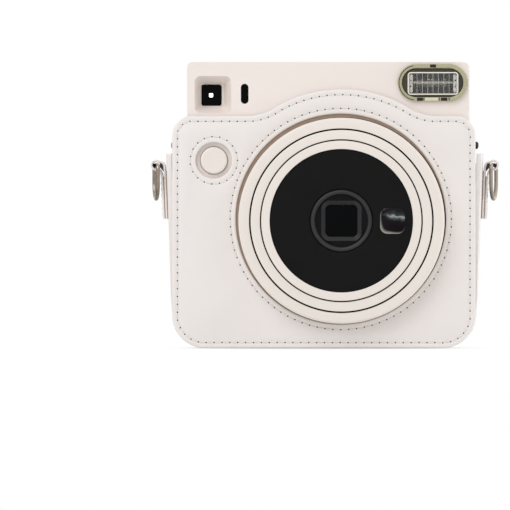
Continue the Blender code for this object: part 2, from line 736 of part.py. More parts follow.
def make_strap_fittings(side, sign):
    """Strap lug of the camera, and the case's folded leather tab with its hanging ring."""
    lug = sorted((sign * (BODY_HALF + GAP), sign * (BODY_HALF + LUG_REACH)))
    box(f"strap_lug_{side}", lug, (-LUG_HALF, LUG_HALF), (LUG_LOW, LUG_HIGH), "black_plastic", LUG_EDGE)
    corners = [(sign * x, z, radius) for x, z, radius in TAB_OUTLINE[::sign]]
    eye = circle(sign * RING_X, RING_Z, RING_WIRE + EYE_CLEARANCE, FEW)
    plate(f"strap_tab_{side}", [rounded(corners, 4), eye], -TAB_HALF, TAB_HALF, "white_leather")
    wire = bpy.data.curves.new(f"ring_path_{side}", "CURVE")
    wire.dimensions = "3D"
    wire.bevel_depth = RING_WIRE * MM
    wire.bevel_resolution = 2
    shoulder = RING_HALF - RING_BEND
    path = [(0, 0)] + arc(shoulder, -RING_BEND, RING_BEND, 90, 0, 3)
    path += arc(0, RING_HALF - RING_DROP, RING_HALF, 0, -180, 12)
    path += arc(-shoulder, -RING_BEND, RING_BEND, 180, 90, 3)
    spline = wire.splines.new("POLY")
    spline.points.add(len(path) - 1)
    for point, (y, z) in zip(spline.points, path):
        point.co = (0, y * MM, z * MM, 1)
    spline.use_cyclic_u = True
    wire.materials.append(MATERIALS["steel"])
    ring = bpy.data.objects.new(f"strap_ring_{side}", wire)
    PARTS.objects.link(ring)
    ring.location = (sign * RING_X * MM, 0, RING_Z * MM)
    ring.rotation_euler.z = -sign * radians(RING_TWIST)


def make_barrels():
    """Fixed mount, turning dial and two telescoping barrels."""
    turned("lens_mount", [(MOUNT_OUTER, MOUNT_FRONT), (MOUNT_OUTER, FLANGE_FRONT),
                          (MOUNT_FLANGE, FLANGE_FRONT), (MOUNT_FLANGE, FLANGE_BACK),
                          (MOUNT_OUTER, FLANGE_BACK), (MOUNT_OUTER, MOUNT_BACK), (MOUNT_INNER, MOUNT_BACK),
                          (MOUNT_INNER, MOUNT_FRONT)], "black_plastic")
    turned("lens_dial", [(DIAL_RADIUS - DIAL_CHAMFER, DIAL_FRONT), (DIAL_RADIUS, DIAL_FRONT + DIAL_CHAMFER),
                         (DIAL_RADIUS, DIAL_BACK), (DIAL_SKIRT, DIAL_BACK), (DIAL_SKIRT, DIAL_STEP),
                         (DIAL_INNER, DIAL_STEP), (DIAL_INNER, DIAL_FRONT)], "white_ring")
    turned("mid_barrel", [(MID_RADIUS, MID_FRONT), (MID_RADIUS, MID_BACK), (MID_SKIRT, MID_BACK),
                          (MID_SKIRT, MID_STEP), (MID_INNER, MID_STEP), (MID_INNER, MID_FRONT)], "white_ring")
    turned("inner_barrel", [(INNER_RADIUS, INNER_FRONT), (INNER_RADIUS, INNER_BACK),
                            (INNER_SKIRT, INNER_BACK), (INNER_SKIRT, INNER_STEP), (INNER_INNER, INNER_STEP),
                            (INNER_INNER, INNER_FRONT)], "white_ring")


def make_optics():
    """Black face, bezel, lenses, shutter and mirror, which ride in the inner barrel."""
    turned("lens_plate", [(PLATE_RADIUS, PLATE_FRONT), (PLATE_RADIUS, PLATE_BACK), (PLATE_HOLE, PLATE_BACK),
                          (PLATE_HOLE, PLATE_FRONT)], "black_gloss")
    bezel = [circle(LENS_X, LENS_Z, BEZEL_RADIUS),
             block(LENS_X, LENS_Z, BEZEL_HOLE, BEZEL_HOLE, BEZEL_CORNER)]
    plate("lens_bezel", bezel, BEZEL_FRONT, BEZEL_BACK, "grey_plastic")
    window = block(LENS_X, LENS_Z, WINDOW_SIDE, WINDOW_SIDE, WINDOW_CORNER)
    plate("lens_window", [window], WINDOW_FRONT, WINDOW_BACK, "dark_glass")
    turned("lens_holder", [(CARRIER_RADIUS, HOLDER_FRONT), (CARRIER_RADIUS, HOLDER_STEP),
                           (HOLDER_OUTER, HOLDER_STEP), (HOLDER_OUTER, HOLDER_BACK),
                           (HOLDER_BORE, HOLDER_BACK), (HOLDER_BORE, HOLDER_FRONT)], "black_plastic")
    turned("front_lens", FRONT_LENS, "clear", steps=MEDIUM, ring=False)
    turned("rear_lens", REAR_LENS, "clear", steps=MEDIUM, ring=False)
    shutter = [circle(LENS_X, LENS_Z, CARRIER_RADIUS),
               block(LENS_X, LENS_Z, SHUTTER_HOLE, SHUTTER_HOLE, SHUTTER_CORNER)]
    plate("shutter_plate", shutter, SHUTTER_FRONT, SHUTTER_BACK, "black_plastic")
    for side, sign in (("left", -1), ("right", 1)):
        depth = BLADE_DEPTHS[side]
        middle = LENS_X + sign * BLADE_PIVOT / 2
        tip = circle(LENS_X, LENS_Z, BLADE_RADIUS, MEDIUM)
        blade = plate(f"shutter_blade_{side}", [tip], depth, depth + BLADE_THICK, "black_plastic")
        arm = stadium(middle, LENS_Z, BLADE_PIVOT + BLADE_ARM, BLADE_ARM, 4)
        arm_depths = (depth + BLADE_STEP, depth + BLADE_THICK - BLADE_STEP)
        join(blade, plate(f"blade_arm_{side}", [arm], *arm_depths, "black_plastic"))
    mirror = block(MIRROR_X, MIRROR_Z, MIRROR_WIDTH, MIRROR_HEIGHT, MIRROR_CORNER)
    back = PLATE_FRONT - GAP
    plate("selfie_mirror", [mirror], back - MIRROR_THICK, back, "mirror")


def make_top_strip():
    """Finder, exposure sensor, flash and shutter button."""
    tunnel = [block(FINDER_X, FINDER_Z, side, side, FRAME_CORNER, 1) for side in (TUNNEL_OUTER, TUNNEL_BORE)]
    plate("viewfinder_tunnel", tunnel, TUNNEL_FRONT, TUNNEL_BACK, "black_plastic")
    pane = block(FINDER_X, FINDER_Z, WINDOW_PANE, WINDOW_PANE, PANE_CORNER)
    plate("viewfinder_window", [pane], PANE_FRONT, PANE_BACK, "dark_glass")
    eyepiece = block(FINDER_X, FINDER_Z, EYEPIECE_SIDE, EYEPIECE_SIDE, PANE_CORNER)
    plate("eyepiece_lens", [eyepiece], EYEPIECE_FRONT, EYEPIECE_BACK, "dark_glass")
    sensor = stadium(SENSOR_X, SENSOR_Z, SENSOR_WIDTH, SENSOR_HEIGHT)
    plate("sensor_window", [sensor], SENSOR_FRONT, SENSOR_BACK, "dark_glass")
    flash = stadium(FLASH_X, FLASH_Z, FLASH_LENGTH, FLASH_HEIGHT)
    plate("flash_window", [flash], FLASH_FRONT, FLASH_BACK, "clear")
    pot = box("flash_reflector", around(FLASH_X, POT_HALF_LENGTH), (POT_FRONT, POT_BACK),
              around(FLASH_Z, POT_HALF_HEIGHT), "reflector")
    cut(pot, taper("flash_trough", (FLASH_X, FLASH_Z), TROUGH_FRONT, TROUGH_BACK, "reflector"))
    rod("flash_tube", "X", (TUBE_Y, FLASH_Z), TUBE_RADIUS, *around(FLASH_X, TUBE_HALF), "clear", FEW)
    rod("flash_capacitor", "X", (TUBE_Y, CAPACITOR_Z), CAPACITOR_RADIUS, CAPACITOR_LEFT, CAPACITOR_RIGHT,
        "black_plastic", MEDIUM)
    turned("shutter_button", [(0, BUTTON_FRONT), (BUTTON_RADIUS - BUTTON_CHAMFER, BUTTON_FRONT),
                              (BUTTON_RADIUS, BUTTON_FRONT + BUTTON_CHAMFER),
                              (BUTTON_RADIUS, BUTTON_FLANGE_FRONT), (BUTTON_FLANGE, BUTTON_FLANGE_FRONT),
                              (BUTTON_FLANGE, BUTTON_FLANGE_BACK), (BUTTON_STEM, BUTTON_FLANGE_BACK),
                              (BUTTON_STEM, BUTTON_BACK), (0, BUTTON_BACK)],
           "white_ring", (BUTTON_X, BUTTON_Z), MEDIUM, ring=False)
    box("release_switch", *SWITCH_BOX, "black_plastic")
    box("circuit_board", *BOARD_BOX, "board")


def gear_outline(y, z, teeth, phase):
    """A spur gear with straight-sided teeth, one of them centred on the phase angle."""
    pitch = 2 * pi / teeth
    radius = GEAR_MODULE * teeth / 2
    reach = (radius - TOOTH_ROOT * GEAR_MODULE, radius + TOOTH_TIP * GEAR_MODULE)
    points = []
    for tooth in range(teeth):
        for end, share in TOOTH_SHAPE:
            angle = phase + pitch * (tooth + share)
            points.append((y + reach[end] * cos(angle), z + reach[end] * sin(angle)))
    return points


def mesh_phase(here, here_teeth, here_phase, there, there_teeth):
    """The phase that sets the second gear's gap against the first gear's tooth."""
    line = atan2(there[1] - here[1], there[0] - here[0])
    share = (line - here_phase) * here_teeth / (2 * pi)
    return line + pi - (0.5 - share) * 2 * pi / there_teeth


def idler_place():
    """Where the idler meets both the drive roller's gear and the motor's pinion."""
    near = GEAR_MODULE * (ROLLER_TEETH + IDLER_TEETH) / 2
    far = GEAR_MODULE * (PINION_TEETH + IDLER_TEETH) / 2
    across = PINION_Y - DRIVE_Y
    rise = PINION_Z - ROLLER_Z
    span = sqrt(across ** 2 + rise ** 2)
    along = (near ** 2 - far ** 2 + span ** 2) / (2 * span)
    aside = sqrt(near ** 2 - along ** 2)
    return (DRIVE_Y + (along * across - aside * rise) / span, ROLLER_Z + (along * rise + aside * across) / span)


def make_film_box():
    """Film chamber, film pack, light cone and the flap over the film slot."""
    left = LENS_X - FILM_HALF - CHAMBER_MARGIN
    right = LENS_X + FILM_HALF + CHAMBER_MARGIN
    shell = block(LENS_X, LENS_Z - CHAMBER_DROP, right - left, CHAMBER_HEIGHT, CHAMBER_CORNER, 2)
    aperture = block(LENS_X, LENS_Z, APERTURE_SIDE, APERTURE_SIDE, CHAMBER_CORNER, 2)
    chamber = plate("film_chamber", [shell, aperture], CHAMBER_FRONT, CHAMBER_BACK, "black_plastic")
    hollow_x = (left + CHAMBER_WALL, right - CHAMBER_WALL)
    cut(chamber, box("chamber_hollow", hollow_x, HOLLOW_DEPTHS, HOLLOW_HEIGHTS, "black_plastic"))
    exit_x = (left + EXIT_INSET, right - EXIT_INSET)
    cut(chamber, box("chamber_exit", exit_x, EXIT_DEPTHS, EXIT_HEIGHTS, "black_plastic"))
    box("film_pack", around(LENS_X, FILM_HALF), PACK_DEPTHS, PACK_HEIGHTS, "black_plastic")
    cone = taper("light_cone", (LENS_X, LENS_Z), CONE_FRONT, CONE_BACK, "black_plastic")
    cut(cone, taper("cone_hollow", (LENS_X, LENS_Z), CONE_HOLLOW_FRONT, CONE_HOLLOW_BACK, "black_plastic"))
    flap_x = around(LENS_X, FILM_HALF - FLAP_MARGIN)
    box("film_flap", flap_x, (SLOT_FRONT + GAP, SLOT_BACK - GAP), (FLAP_LOW, FLAP_HIGH), "black_plastic")


def make_film_drive():
    """Rollers, their frame, and the motor's gear train."""
    idler = idler_place()
    drive = (DRIVE_Y, ROLLER_Z)
    pinch = (PINCH_Y, ROLLER_Z)
    pinion = (PINION_Y, PINION_Z)
    idler_phase = mesh_phase(drive, ROLLER_TEETH, 0, idler, IDLER_TEETH)
    pinch_phase = mesh_phase(drive, ROLLER_TEETH, 0, pinch, ROLLER_TEETH)
    pinion_phase = mesh_phase(idler, IDLER_TEETH, idler_phase, pinion, PINION_TEETH)
    length = around(LENS_X, FILM_HALF + ROLLER_OVERHANG)
    inner_end = GEAR_LEFT + GEAR_BITE
    for name, place, phase in (("drive_roller", drive, 0), ("pinch_roller", pinch, pinch_phase)):
        roller = rod(name, "X", place, ROLLER_RADIUS, *length, "rubber", MEDIUM)
        end = inner_end if place is drive else PINCH_SHAFT_END
        join(roller, rod(name + "_shaft", "X", place, ROLLER_SHAFT, PAIR_LEFT + GEAR_BITE, end, "steel", FEW))
        teeth = gear_outline(*place, ROLLER_TEETH, phase)
        join(roller, plate(name + "_pair_gear", [teeth], PAIR_LEFT, PAIR_RIGHT, "grey_plastic", "X"))
        if place is drive:
            join(roller, plate("drive_roller_gear", [teeth], GEAR_LEFT, GEAR_RIGHT, "grey_plastic", "X"))
    teeth = gear_outline(*idler, IDLER_TEETH, idler_phase)
    wheel = plate("idler_gear", [teeth], GEAR_LEFT, GEAR_RIGHT, "grey_plastic", "X")
    join(wheel, rod("idler_shaft", "X", idler, IDLER_SHAFT, IDLER_SHAFT_LEFT, inner_end, "steel", FEW))
    teeth = gear_outline(*pinion, PINION_TEETH, pinion_phase)
    small = plate("motor_pinion", [teeth], GEAR_LEFT, GEAR_RIGHT, "steel", "X")
    join(small, rod("pinion_shaft", "X", pinion, PINION_SHAFT, PINION_SHAFT_LEFT, inner_end, "steel", FEW))
    rod("drive_motor", "X", pinion, MOTOR_RADIUS, MOTOR_LEFT, MOTOR_RIGHT, "steel", MEDIUM)
    shafts = [circle(*place, ROLLER_SHAFT + BEARING_CLEARANCE, FEW) for place in (drive, pinch)]
    cheek = block(FRAME_Y, FRAME_LEFT_Z, FRAME_DEPTH, FRAME_LEFT_HEIGHT, FRAME_CORNER, 1)
    holder = plate("roller_frame", [cheek] + shafts, *FRAME_LEFT_SPAN, "steel", "X")
    cheek = block(FRAME_Y, FRAME_RIGHT_Z, FRAME_DEPTH, FRAME_RIGHT_HEIGHT, FRAME_CORNER, 1)
    shafts.append(circle(*idler, IDLER_SHAFT + BEARING_CLEARANCE, FEW))
    join(holder, plate("roller_frame_right", [cheek] + shafts, *FRAME_RIGHT_SPAN, "steel", "X"))
    join(holder, box("roller_frame_bar", *FRAME_BAR_BOX, "steel"))


def make_battery():
    """Two cells on end in a square holder, over a door in the bottom."""
    bore = HOLDER_SIDE - 2 * HOLDER_WALL
    tube = [block(CELL_X, CELL_Y, side, side, HOLDER_WALL, 2) for side in (HOLDER_SIDE, bore)]
    plate("battery_holder", tube, BATTERY_HOLDER_LOW, BATTERY_HOLDER_HIGH, "black_plastic", "Z")
    for i, name in enumerate(("battery_cell_lower", "battery_cell_upper")):
        low = CELL_LOW + i * (CELL_LENGTH + GAP)
        rod(name, "Z", (CELL_X, CELL_Y), CELL_RADIUS, low, low + CELL_LENGTH, "cell_wrap", MEDIUM)
    door_z = (BODY_BOTTOM, BODY_BOTTOM + BATTERY_DOOR_THICK)
    box("battery_door", BATTERY_DOOR_X, BATTERY_DOOR_Y, door_z, "white_shell", BATTERY_DOOR_EDGE)


def make_counter():
    """Frame counter: a numbered disc behind a small round window."""
    turned("counter_dial", [(0, COUNTER_FRONT), (COUNTER_RADIUS, COUNTER_FRONT), (COUNTER_RADIUS, COUNTER_BACK),
                            (0, COUNTER_BACK)], "white_ring", (COUNTER_X + COUNTER_OFFSET, COUNTER_Z), MEDIUM,
           ring=False)
    pane = circle(COUNTER_X, COUNTER_Z, COUNTER_PANE, SMALL)
    plate("counter_window", [pane], COUNTER_PANE_FRONT, COUNTER_PANE_BACK, "dark_glass")


make_front_cover()
make_rear_cover()
make_film_door()
make_door_latch()
make_case()
make_strap_fittings("left", -1)
make_strap_fittings("right", 1)
make_barrels()
make_optics()
make_top_strip()
make_film_box()
make_film_drive()
make_battery()
make_counter()
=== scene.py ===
"""Looks of a white instant camera in its stitched leather half-case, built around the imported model."""
import logging
from dataclasses import dataclass, field
from enum import Enum
from math import atan2, cos, degrees, hypot, pi, radians, sin, sqrt
from typing import ClassVar

import bmesh
import bpy
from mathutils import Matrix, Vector


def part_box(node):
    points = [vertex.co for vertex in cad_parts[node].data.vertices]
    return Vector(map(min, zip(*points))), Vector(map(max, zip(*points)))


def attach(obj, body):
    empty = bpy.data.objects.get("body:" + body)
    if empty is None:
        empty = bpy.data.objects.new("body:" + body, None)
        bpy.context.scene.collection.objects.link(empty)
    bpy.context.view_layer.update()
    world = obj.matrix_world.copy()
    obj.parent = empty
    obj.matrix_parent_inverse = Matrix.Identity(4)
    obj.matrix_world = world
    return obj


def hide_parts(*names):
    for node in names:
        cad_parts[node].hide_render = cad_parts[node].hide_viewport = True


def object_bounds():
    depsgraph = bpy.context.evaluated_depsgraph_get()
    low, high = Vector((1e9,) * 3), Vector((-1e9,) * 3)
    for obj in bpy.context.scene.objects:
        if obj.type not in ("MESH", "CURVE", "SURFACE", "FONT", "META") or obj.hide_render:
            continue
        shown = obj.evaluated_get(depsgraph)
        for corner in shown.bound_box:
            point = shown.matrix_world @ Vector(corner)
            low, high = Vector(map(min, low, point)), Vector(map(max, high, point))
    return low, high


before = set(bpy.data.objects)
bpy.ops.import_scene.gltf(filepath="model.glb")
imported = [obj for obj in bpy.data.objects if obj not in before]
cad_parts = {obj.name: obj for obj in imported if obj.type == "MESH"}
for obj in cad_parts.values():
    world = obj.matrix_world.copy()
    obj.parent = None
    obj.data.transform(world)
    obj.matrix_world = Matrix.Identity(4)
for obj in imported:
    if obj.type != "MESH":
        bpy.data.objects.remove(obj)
CAD_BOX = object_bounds()

LOG = logging.getLogger("instant_camera")
NODES: dict[str, bpy.types.Object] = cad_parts
MM = 0.001  # metres in a millimetre
FINE = 160  # segments of a large circle
NEARLY = 0.01  # what a full round end lacks of half its height, in millimetres
WHITE = (1.0, 1.0, 1.0)

Point = tuple[float, float]
Colour = tuple[float, float, float]
Triple = tuple[float, float, float]
Stops = list[tuple[float, Colour]]
Inputs = dict[str | int, object]
Section = list[Point]
Stitch = tuple[Vector, Vector, Vector]
Loop = list[bmesh.types.BMVert]


class Body(Enum):
    """The bodies that pieces ride on."""

    CAMERA = "camera"
    BUTTON = "shutter_button"
    DIAL = "lens_dial"
    MID = "mid_barrel"
    INNER = "inner_barrel"
    LATCH = "door_latch"
    COUNTER = "counter_dial"
    RING_LEFT = "strap_ring_left"
    RING_RIGHT = "strap_ring_right"


class Side(Enum):
    """Left or right of the camera, as a sign along X."""

    LEFT = -1
    RIGHT = 1


class Signal:
    """A shader socket that Python operators combine into Math nodes."""

    def __init__(self, sheet: "Sheet", socket: bpy.types.NodeSocket) -> None:
        """Keep the socket and the sheet that it is on."""
        self.sheet = sheet
        self.socket = socket

    def _math(self, operation: str, first: "Signal | float", second: "Signal | float") -> "Signal":
        """Add one Math node."""
        return self.sheet.node("ShaderNodeMath", {"operation": operation}, {0: first, 1: second})

    def __add__(self, other: "Signal | float") -> "Signal":
        """Sum."""
        return self._math("ADD", self, other)

    def __radd__(self, other: float) -> "Signal":
        """Sum, the number first."""
        return self._math("ADD", other, self)

    def __sub__(self, other: "Signal | float") -> "Signal":
        """Difference."""
        return self._math("SUBTRACT", self, other)

    def __rsub__(self, other: float) -> "Signal":
        """Difference, the number first."""
        return self._math("SUBTRACT", other, self)

    def __mul__(self, other: "Signal | float") -> "Signal":
        """Product."""
        return self._math("MULTIPLY", self, other)

    def __rmul__(self, other: float) -> "Signal":
        """Product, the number first."""
        return self._math("MULTIPLY", other, self)

    def __pow__(self, other: "Signal | float") -> "Signal":
        """Power."""
        return self._math("POWER", self, other)

    def __rpow__(self, other: float) -> "Signal":
        """Power, the number first."""
        return self._math("POWER", other, self)

    def either(self, other: "Signal") -> "Signal":
        """The greater of the two."""
        return self._math("MAXIMUM", self, other)

    def blend(self, other: "Signal", share: float) -> "Signal":
        """A mixture that holds a share of the other."""
        return self * (1 - share) + other * share


class Sheet:
    """The node tree of one material or world."""

    def __init__(self, owner: bpy.types.Material | bpy.types.World) -> None:
        """Start with an empty tree.

        Args:
            owner: the material or world that the tree belongs to.
        """
        self.owner = owner
        owner.use_nodes = True
        self.tree = owner.node_tree
        self.tree.nodes.clear()

    @classmethod
    def of(cls, name: str) -> "Sheet":
        """The sheet of a new material."""
        return cls(bpy.data.materials.new(name))

    def _feed(self, socket: bpy.types.NodeSocket, value: object) -> None:
        """Link a signal to a socket, or set the socket's own value.

        Args:
            socket: the input to fill.
            value: a signal, or a value that the socket can hold.
        """
        if isinstance(value, Signal):
            self.tree.links.new(value.socket, socket)
        elif socket.type == "RGBA":
            socket.default_value = (*value, 1.0)
        else:
            socket.default_value = value

    def node(self, kind: str, settings: dict[str, object] | None = None, inputs: Inputs | None = None,
             output: int | str = 0) -> Signal:
        """Add a node.

        Args:
            kind: the node's type.
            settings: its properties, and "stops" for a ramp's (position, colour) pairs.
            inputs: values or signals for its sockets, by name or number.
            output: the socket to hand back.

        Returns:
            The output as a signal.
        """
        made = self.tree.nodes.new(kind)
        for key, value in (settings or {}).items():
            if key == "stops":
                ramp = made.color_ramp.elements
                while len(ramp) < len(value):
                    ramp.new(1.0)
                for stop, (position, colour) in zip(ramp, value):
                    stop.position = position
                    stop.color = (*colour, 1.0)
            else:
                setattr(made, key, value)
        for key, value in (inputs or {}).items():
            self._feed(made.inputs[key], value)
        return Signal(self, made.outputs[output])

    def place(self) -> Signal:
        """Position on the piece, in metres."""
        return self.node("ShaderNodeTexCoord", output="Object")

    def noise(self, size_mm: float, detail: float = 2.0) -> Signal:
        """Soft noise whose blotches are about this big."""
        inputs = {"Vector": self.place(), "Scale": 1.0 / (size_mm * MM), "Detail": detail}
        return self.node("ShaderNodeTexNoise", {}, inputs)

    def mix(self, factor: Signal, first: Colour | Signal, second: Colour | Signal) -> Signal:
        """Blend two colours."""
        return self.node("ShaderNodeMix", {"data_type": "RGBA"}, {0: factor, 6: first, 7: second}, 2)

    def ramp(self, value: Signal, stops: Stops) -> Signal:
        """Colour a value by stops."""
        return self.node("ShaderNodeValToRGB", {"stops": stops}, {0: value})

    def ease(self, value: Signal, low: float, high: float, floor: float = 0.0) -> Signal:
        """Rise smoothly to one while a value goes from low to high."""
        inputs = {"Value": value, "From Min": low, "From Max": high, "To Min": floor}
        return self.node("ShaderNodeMapRange", {"interpolation_type": "SMOOTHSTEP"}, inputs)

    def bump(self, height: Signal, depth_mm: float, strength: float, under: Signal | None = None) -> Signal:
        """Turn a height of 0 to 1 into a surface normal, on top of another normal if there is one.

        Args:
            height: the height signal.
            depth_mm: the depth that a height of 1 stands for.
            strength: how much of the bump is kept.
            under: the normal that the bump lies on.

        Returns:
            The normal.
        """
        inputs = {"Strength": strength, "Distance": depth_mm * MM, "Height": height}
        if under:
            inputs["Normal"] = under
        return self.node("ShaderNodeBump", {}, inputs)

    def close(self, shader: Signal, kind: str = "ShaderNodeOutputMaterial") -> None:
        """Lead a shader to the tree's output."""
        output = self.tree.nodes.new(kind)
        self._feed(output.inputs["Surface"], shader)

    def background_seen(self) -> Signal:
        """One where a ray from the camera, a mirror or glass meets the surroundings, else nought.

        Returns:
            The signal.
        """
        camera, glossy, clear = (self.node("ShaderNodeLightPath", output=f"Is {kind} Ray")
                                 for kind in ("Camera", "Glossy", "Transmission"))
        return camera.either(glossy).either(clear)


def shade(colour: Colour, factor: float) -> Colour:
    """A lighter or darker version of a colour."""
    return tuple(min(channel * factor, 1.0) for channel in colour)


def srgb(red: int, green: int, blue: int) -> Colour:
    """A colour written as screen values, in linear light."""
    values = (channel / 255 for channel in (red, green, blue))
    return tuple(v / 12.92 if v <= 0.04045 else ((v + 0.055) / 1.055) ** 2.4 for v in values)


@dataclass(frozen=True)
class Finish:
    """What every finish has: its material's name, a slot and a colour with two tones."""

    name: str
    slot: str
    colour: Colour
    tones: ClassVar[Point] = (1.0, 1.0)

    def make(self) -> bpy.types.Material:
        """Build the material.

        Returns:
            The material with its shader in place.
        """
        sheet = Sheet.of(self.name)
        sheet.close(sheet.node("ShaderNodeBsdfPrincipled", {}, self.inputs(sheet)))
        return sheet.owner

    def inputs(self, sheet: Sheet) -> Inputs:
        """The shader's values and signals, which each kind of finish gives."""
        raise NotImplementedError(self.name)

    def toned(self, sheet: Sheet, factor: Signal) -> Signal:
        """The colour between its darkest and its lightest tone."""
        dark, light = (shade(self.colour, tone) for tone in self.tones)
        return sheet.mix(factor, dark, light)


@dataclass(frozen=True)
class MouldedPlastic(Finish):
    """Injection-moulded plastic with a fine spark-eroded grain."""

    roughness: float
    grain_mm: float = 0.30
    grain_depth_mm: float = 0.010
    coat: float = 0.0
    tones: ClassVar[Point] = (0.965, 1.03)
    drift_mm: ClassVar[float] = 28.0
    grain_matt: ClassVar[float] = 0.10
    grain_strength: ClassVar[float] = 0.6
    coat_roughness: ClassVar[float] = 0.12

    def inputs(self, sheet: Sheet) -> Inputs:
        """A slow drift of colour, and the grain in gloss and surface.

        Args:
            sheet: the material's sheet.

        Returns:
            The shader's values and signals.
        """
        grain = sheet.noise(self.grain_mm, detail=3.0)
        return {
            "Base Color": self.toned(sheet, sheet.noise(self.drift_mm)),
            "Roughness": self.roughness + self.grain_matt * (grain - 0.5),
            "Coat Weight": self.coat, "Coat Roughness": self.coat_roughness,
            "Normal": sheet.bump(grain, self.grain_depth_mm, self.grain_strength)}


@dataclass(frozen=True)
class CoatedLeather(Finish):
    """Smooth coated leather: a fine pebble grain over soft, slow unevenness."""

    roughness: float = 0.50
    pebble_mm: float = 0.85
    pebble_depth_mm: float = 0.035
    tones: ClassVar[Point] = (0.965, 1.02)
    drift_mm: ClassVar[float] = 34.0
    pebble_tone: ClassVar[float] = 0.2
    pebble_gloss: ClassVar[float] = 0.08
    pebble_strength: ClassVar[float] = 0.5
    pore_mm: ClassVar[float] = 0.35
    pore_share: ClassVar[float] = 0.35
    pore_matt: ClassVar[float] = 0.10
    swell_mm: ClassVar[float] = 16.0
    swell_depth_mm: ClassVar[float] = 0.5
    swell_strength: ClassVar[float] = 0.35
    sheen: ClassVar[float] = 0.06
    sheen_roughness: ClassVar[float] = 0.5

    def inputs(self, sheet: Sheet) -> Inputs:
        """Pebbles and pores in the surface, glossier on the pebbles, over a slow swell.

        Args:
            sheet: the material's sheet.

        Returns:
            The shader's values and signals.
        """
        cells = {"Vector": sheet.place(), "Scale": 1.0 / (self.pebble_mm * MM), "Randomness": 1.0}
        pebble = sheet.node("ShaderNodeTexVoronoi", {"feature": "DISTANCE_TO_EDGE"}, cells) ** 0.5
        pores = sheet.noise(self.pore_mm, detail=3.0)
        fine = sheet.bump(pebble.blend(pores, self.pore_share), self.pebble_depth_mm, self.pebble_strength)
        swell = sheet.noise(self.swell_mm)
        drift = sheet.noise(self.drift_mm, detail=3.0)
        return {
            "Base Color": self.toned(sheet, drift.blend(pebble, self.pebble_tone)),
            "Roughness": self.roughness + self.pore_matt * pores - self.pebble_gloss * pebble,
            "Sheen Weight": self.sheen, "Sheen Roughness": self.sheen_roughness,
            "Normal": sheet.bump(swell, self.swell_depth_mm, self.swell_strength, fine)}


@dataclass(frozen=True)
class Fibre(Finish):
    """Raw leather edge, suede lining or thread: a napped fibre surface."""

    fibre_mm: float = 0.25
    tones: ClassVar[Point] = (0.72, 1.25)
    patch_mm: ClassVar[float] = 6.0
    patch_share: ClassVar[float] = 0.4
    roughness: ClassVar[float] = 0.82
    nap_matt: ClassVar[float] = 0.12
    nap_depth_mm: ClassVar[float] = 0.05
    nap_strength: ClassVar[float] = 0.8

    def inputs(self, sheet: Sheet) -> Inputs:
        """Nap in colour, gloss and surface, with broader patches in the colour.

        Args:
            sheet: the material's sheet.

        Returns:
            The shader's values and signals.
        """
        nap = sheet.noise(self.fibre_mm, detail=4.0)
        return {
            "Base Color": self.toned(sheet, nap.blend(sheet.noise(self.patch_mm), self.patch_share)),
            "Roughness": self.roughness + self.nap_matt * nap,
            "Normal": sheet.bump(nap, self.nap_depth_mm, self.nap_strength)}


@dataclass(frozen=True)
class Metal(Finish):
    """Plated metal with a painted reflection, brighter where it faces up and to the right, with faint
    handling marks.
    """

    roughness: float
    # Painted reflection: the side that the colour is brightened towards, how much that counts, and the tone
    # steps.
    bright_side: ClassVar[Triple] = (0.62, -0.1, 0.62)
    bright_share: ClassVar[float] = 0.42
    base_share: ClassVar[float] = 0.35
    patch_share: ClassVar[float] = 0.3
    patch_mm: ClassVar[float] = 3.5
    mark_mm: ClassVar[float] = 1.6
    mark_matt: ClassVar[float] = 0.10
    mark_depth_mm: ClassVar[float] = 0.004
    mark_strength: ClassVar[float] = 0.3
    steps: ClassVar[tuple[Point, ...]] = ((0.18, 0.28), (0.42, 0.75), (0.58, 1.05), (0.82, 1.5))

    def inputs(self, sheet: Sheet) -> Inputs:
        """Painted reflection: steps from dark to bright by the way that the surface faces.

        Args:
            sheet: the material's sheet.

        Returns:
            The shader's values and signals.
        """
        marks = sheet.noise(self.mark_mm, detail=4.0)
        patch = sheet.noise(self.patch_mm)
        normal = sheet.node("ShaderNodeTexCoord", output="Normal")
        # Painted reflection: how much the surface faces the brightened side.
        facing = sheet.node(
            "ShaderNodeVectorMath", {"operation": "DOT_PRODUCT"}, {0: normal, 1: self.bright_side}, "Value")
        level = facing * self.bright_share + patch * self.patch_share + self.base_share
        return {
            "Base Color": sheet.ramp(level, [(at, shade(self.colour, tone)) for at, tone in self.steps]),
            "Metallic": 1.0, "Roughness": self.roughness + self.mark_matt * marks * patch,
            "Normal": sheet.bump(marks, self.mark_depth_mm, self.mark_strength)}


@dataclass(frozen=True)
class PolishedDark(Finish):
    """Polished black plastic or coated dark glass, with a little dust haze in its gloss."""

    roughness: float
    specular: float
    tones: ClassVar[Point] = (0.85, 1.2)
    haze_mm: ClassVar[float] = 9.0
    haze_matt: ClassVar[float] = 0.06

    def inputs(self, sheet: Sheet) -> Inputs:
        """Haze in colour and gloss.

        Args:
            sheet: the material's sheet.

        Returns:
            The shader's values and signals.
        """
        haze = sheet.noise(self.haze_mm, detail=3.0)
        return {
            "Base Color": self.toned(sheet, haze), "Roughness": self.roughness + self.haze_matt * haze,
            "Specular IOR Level": self.specular}


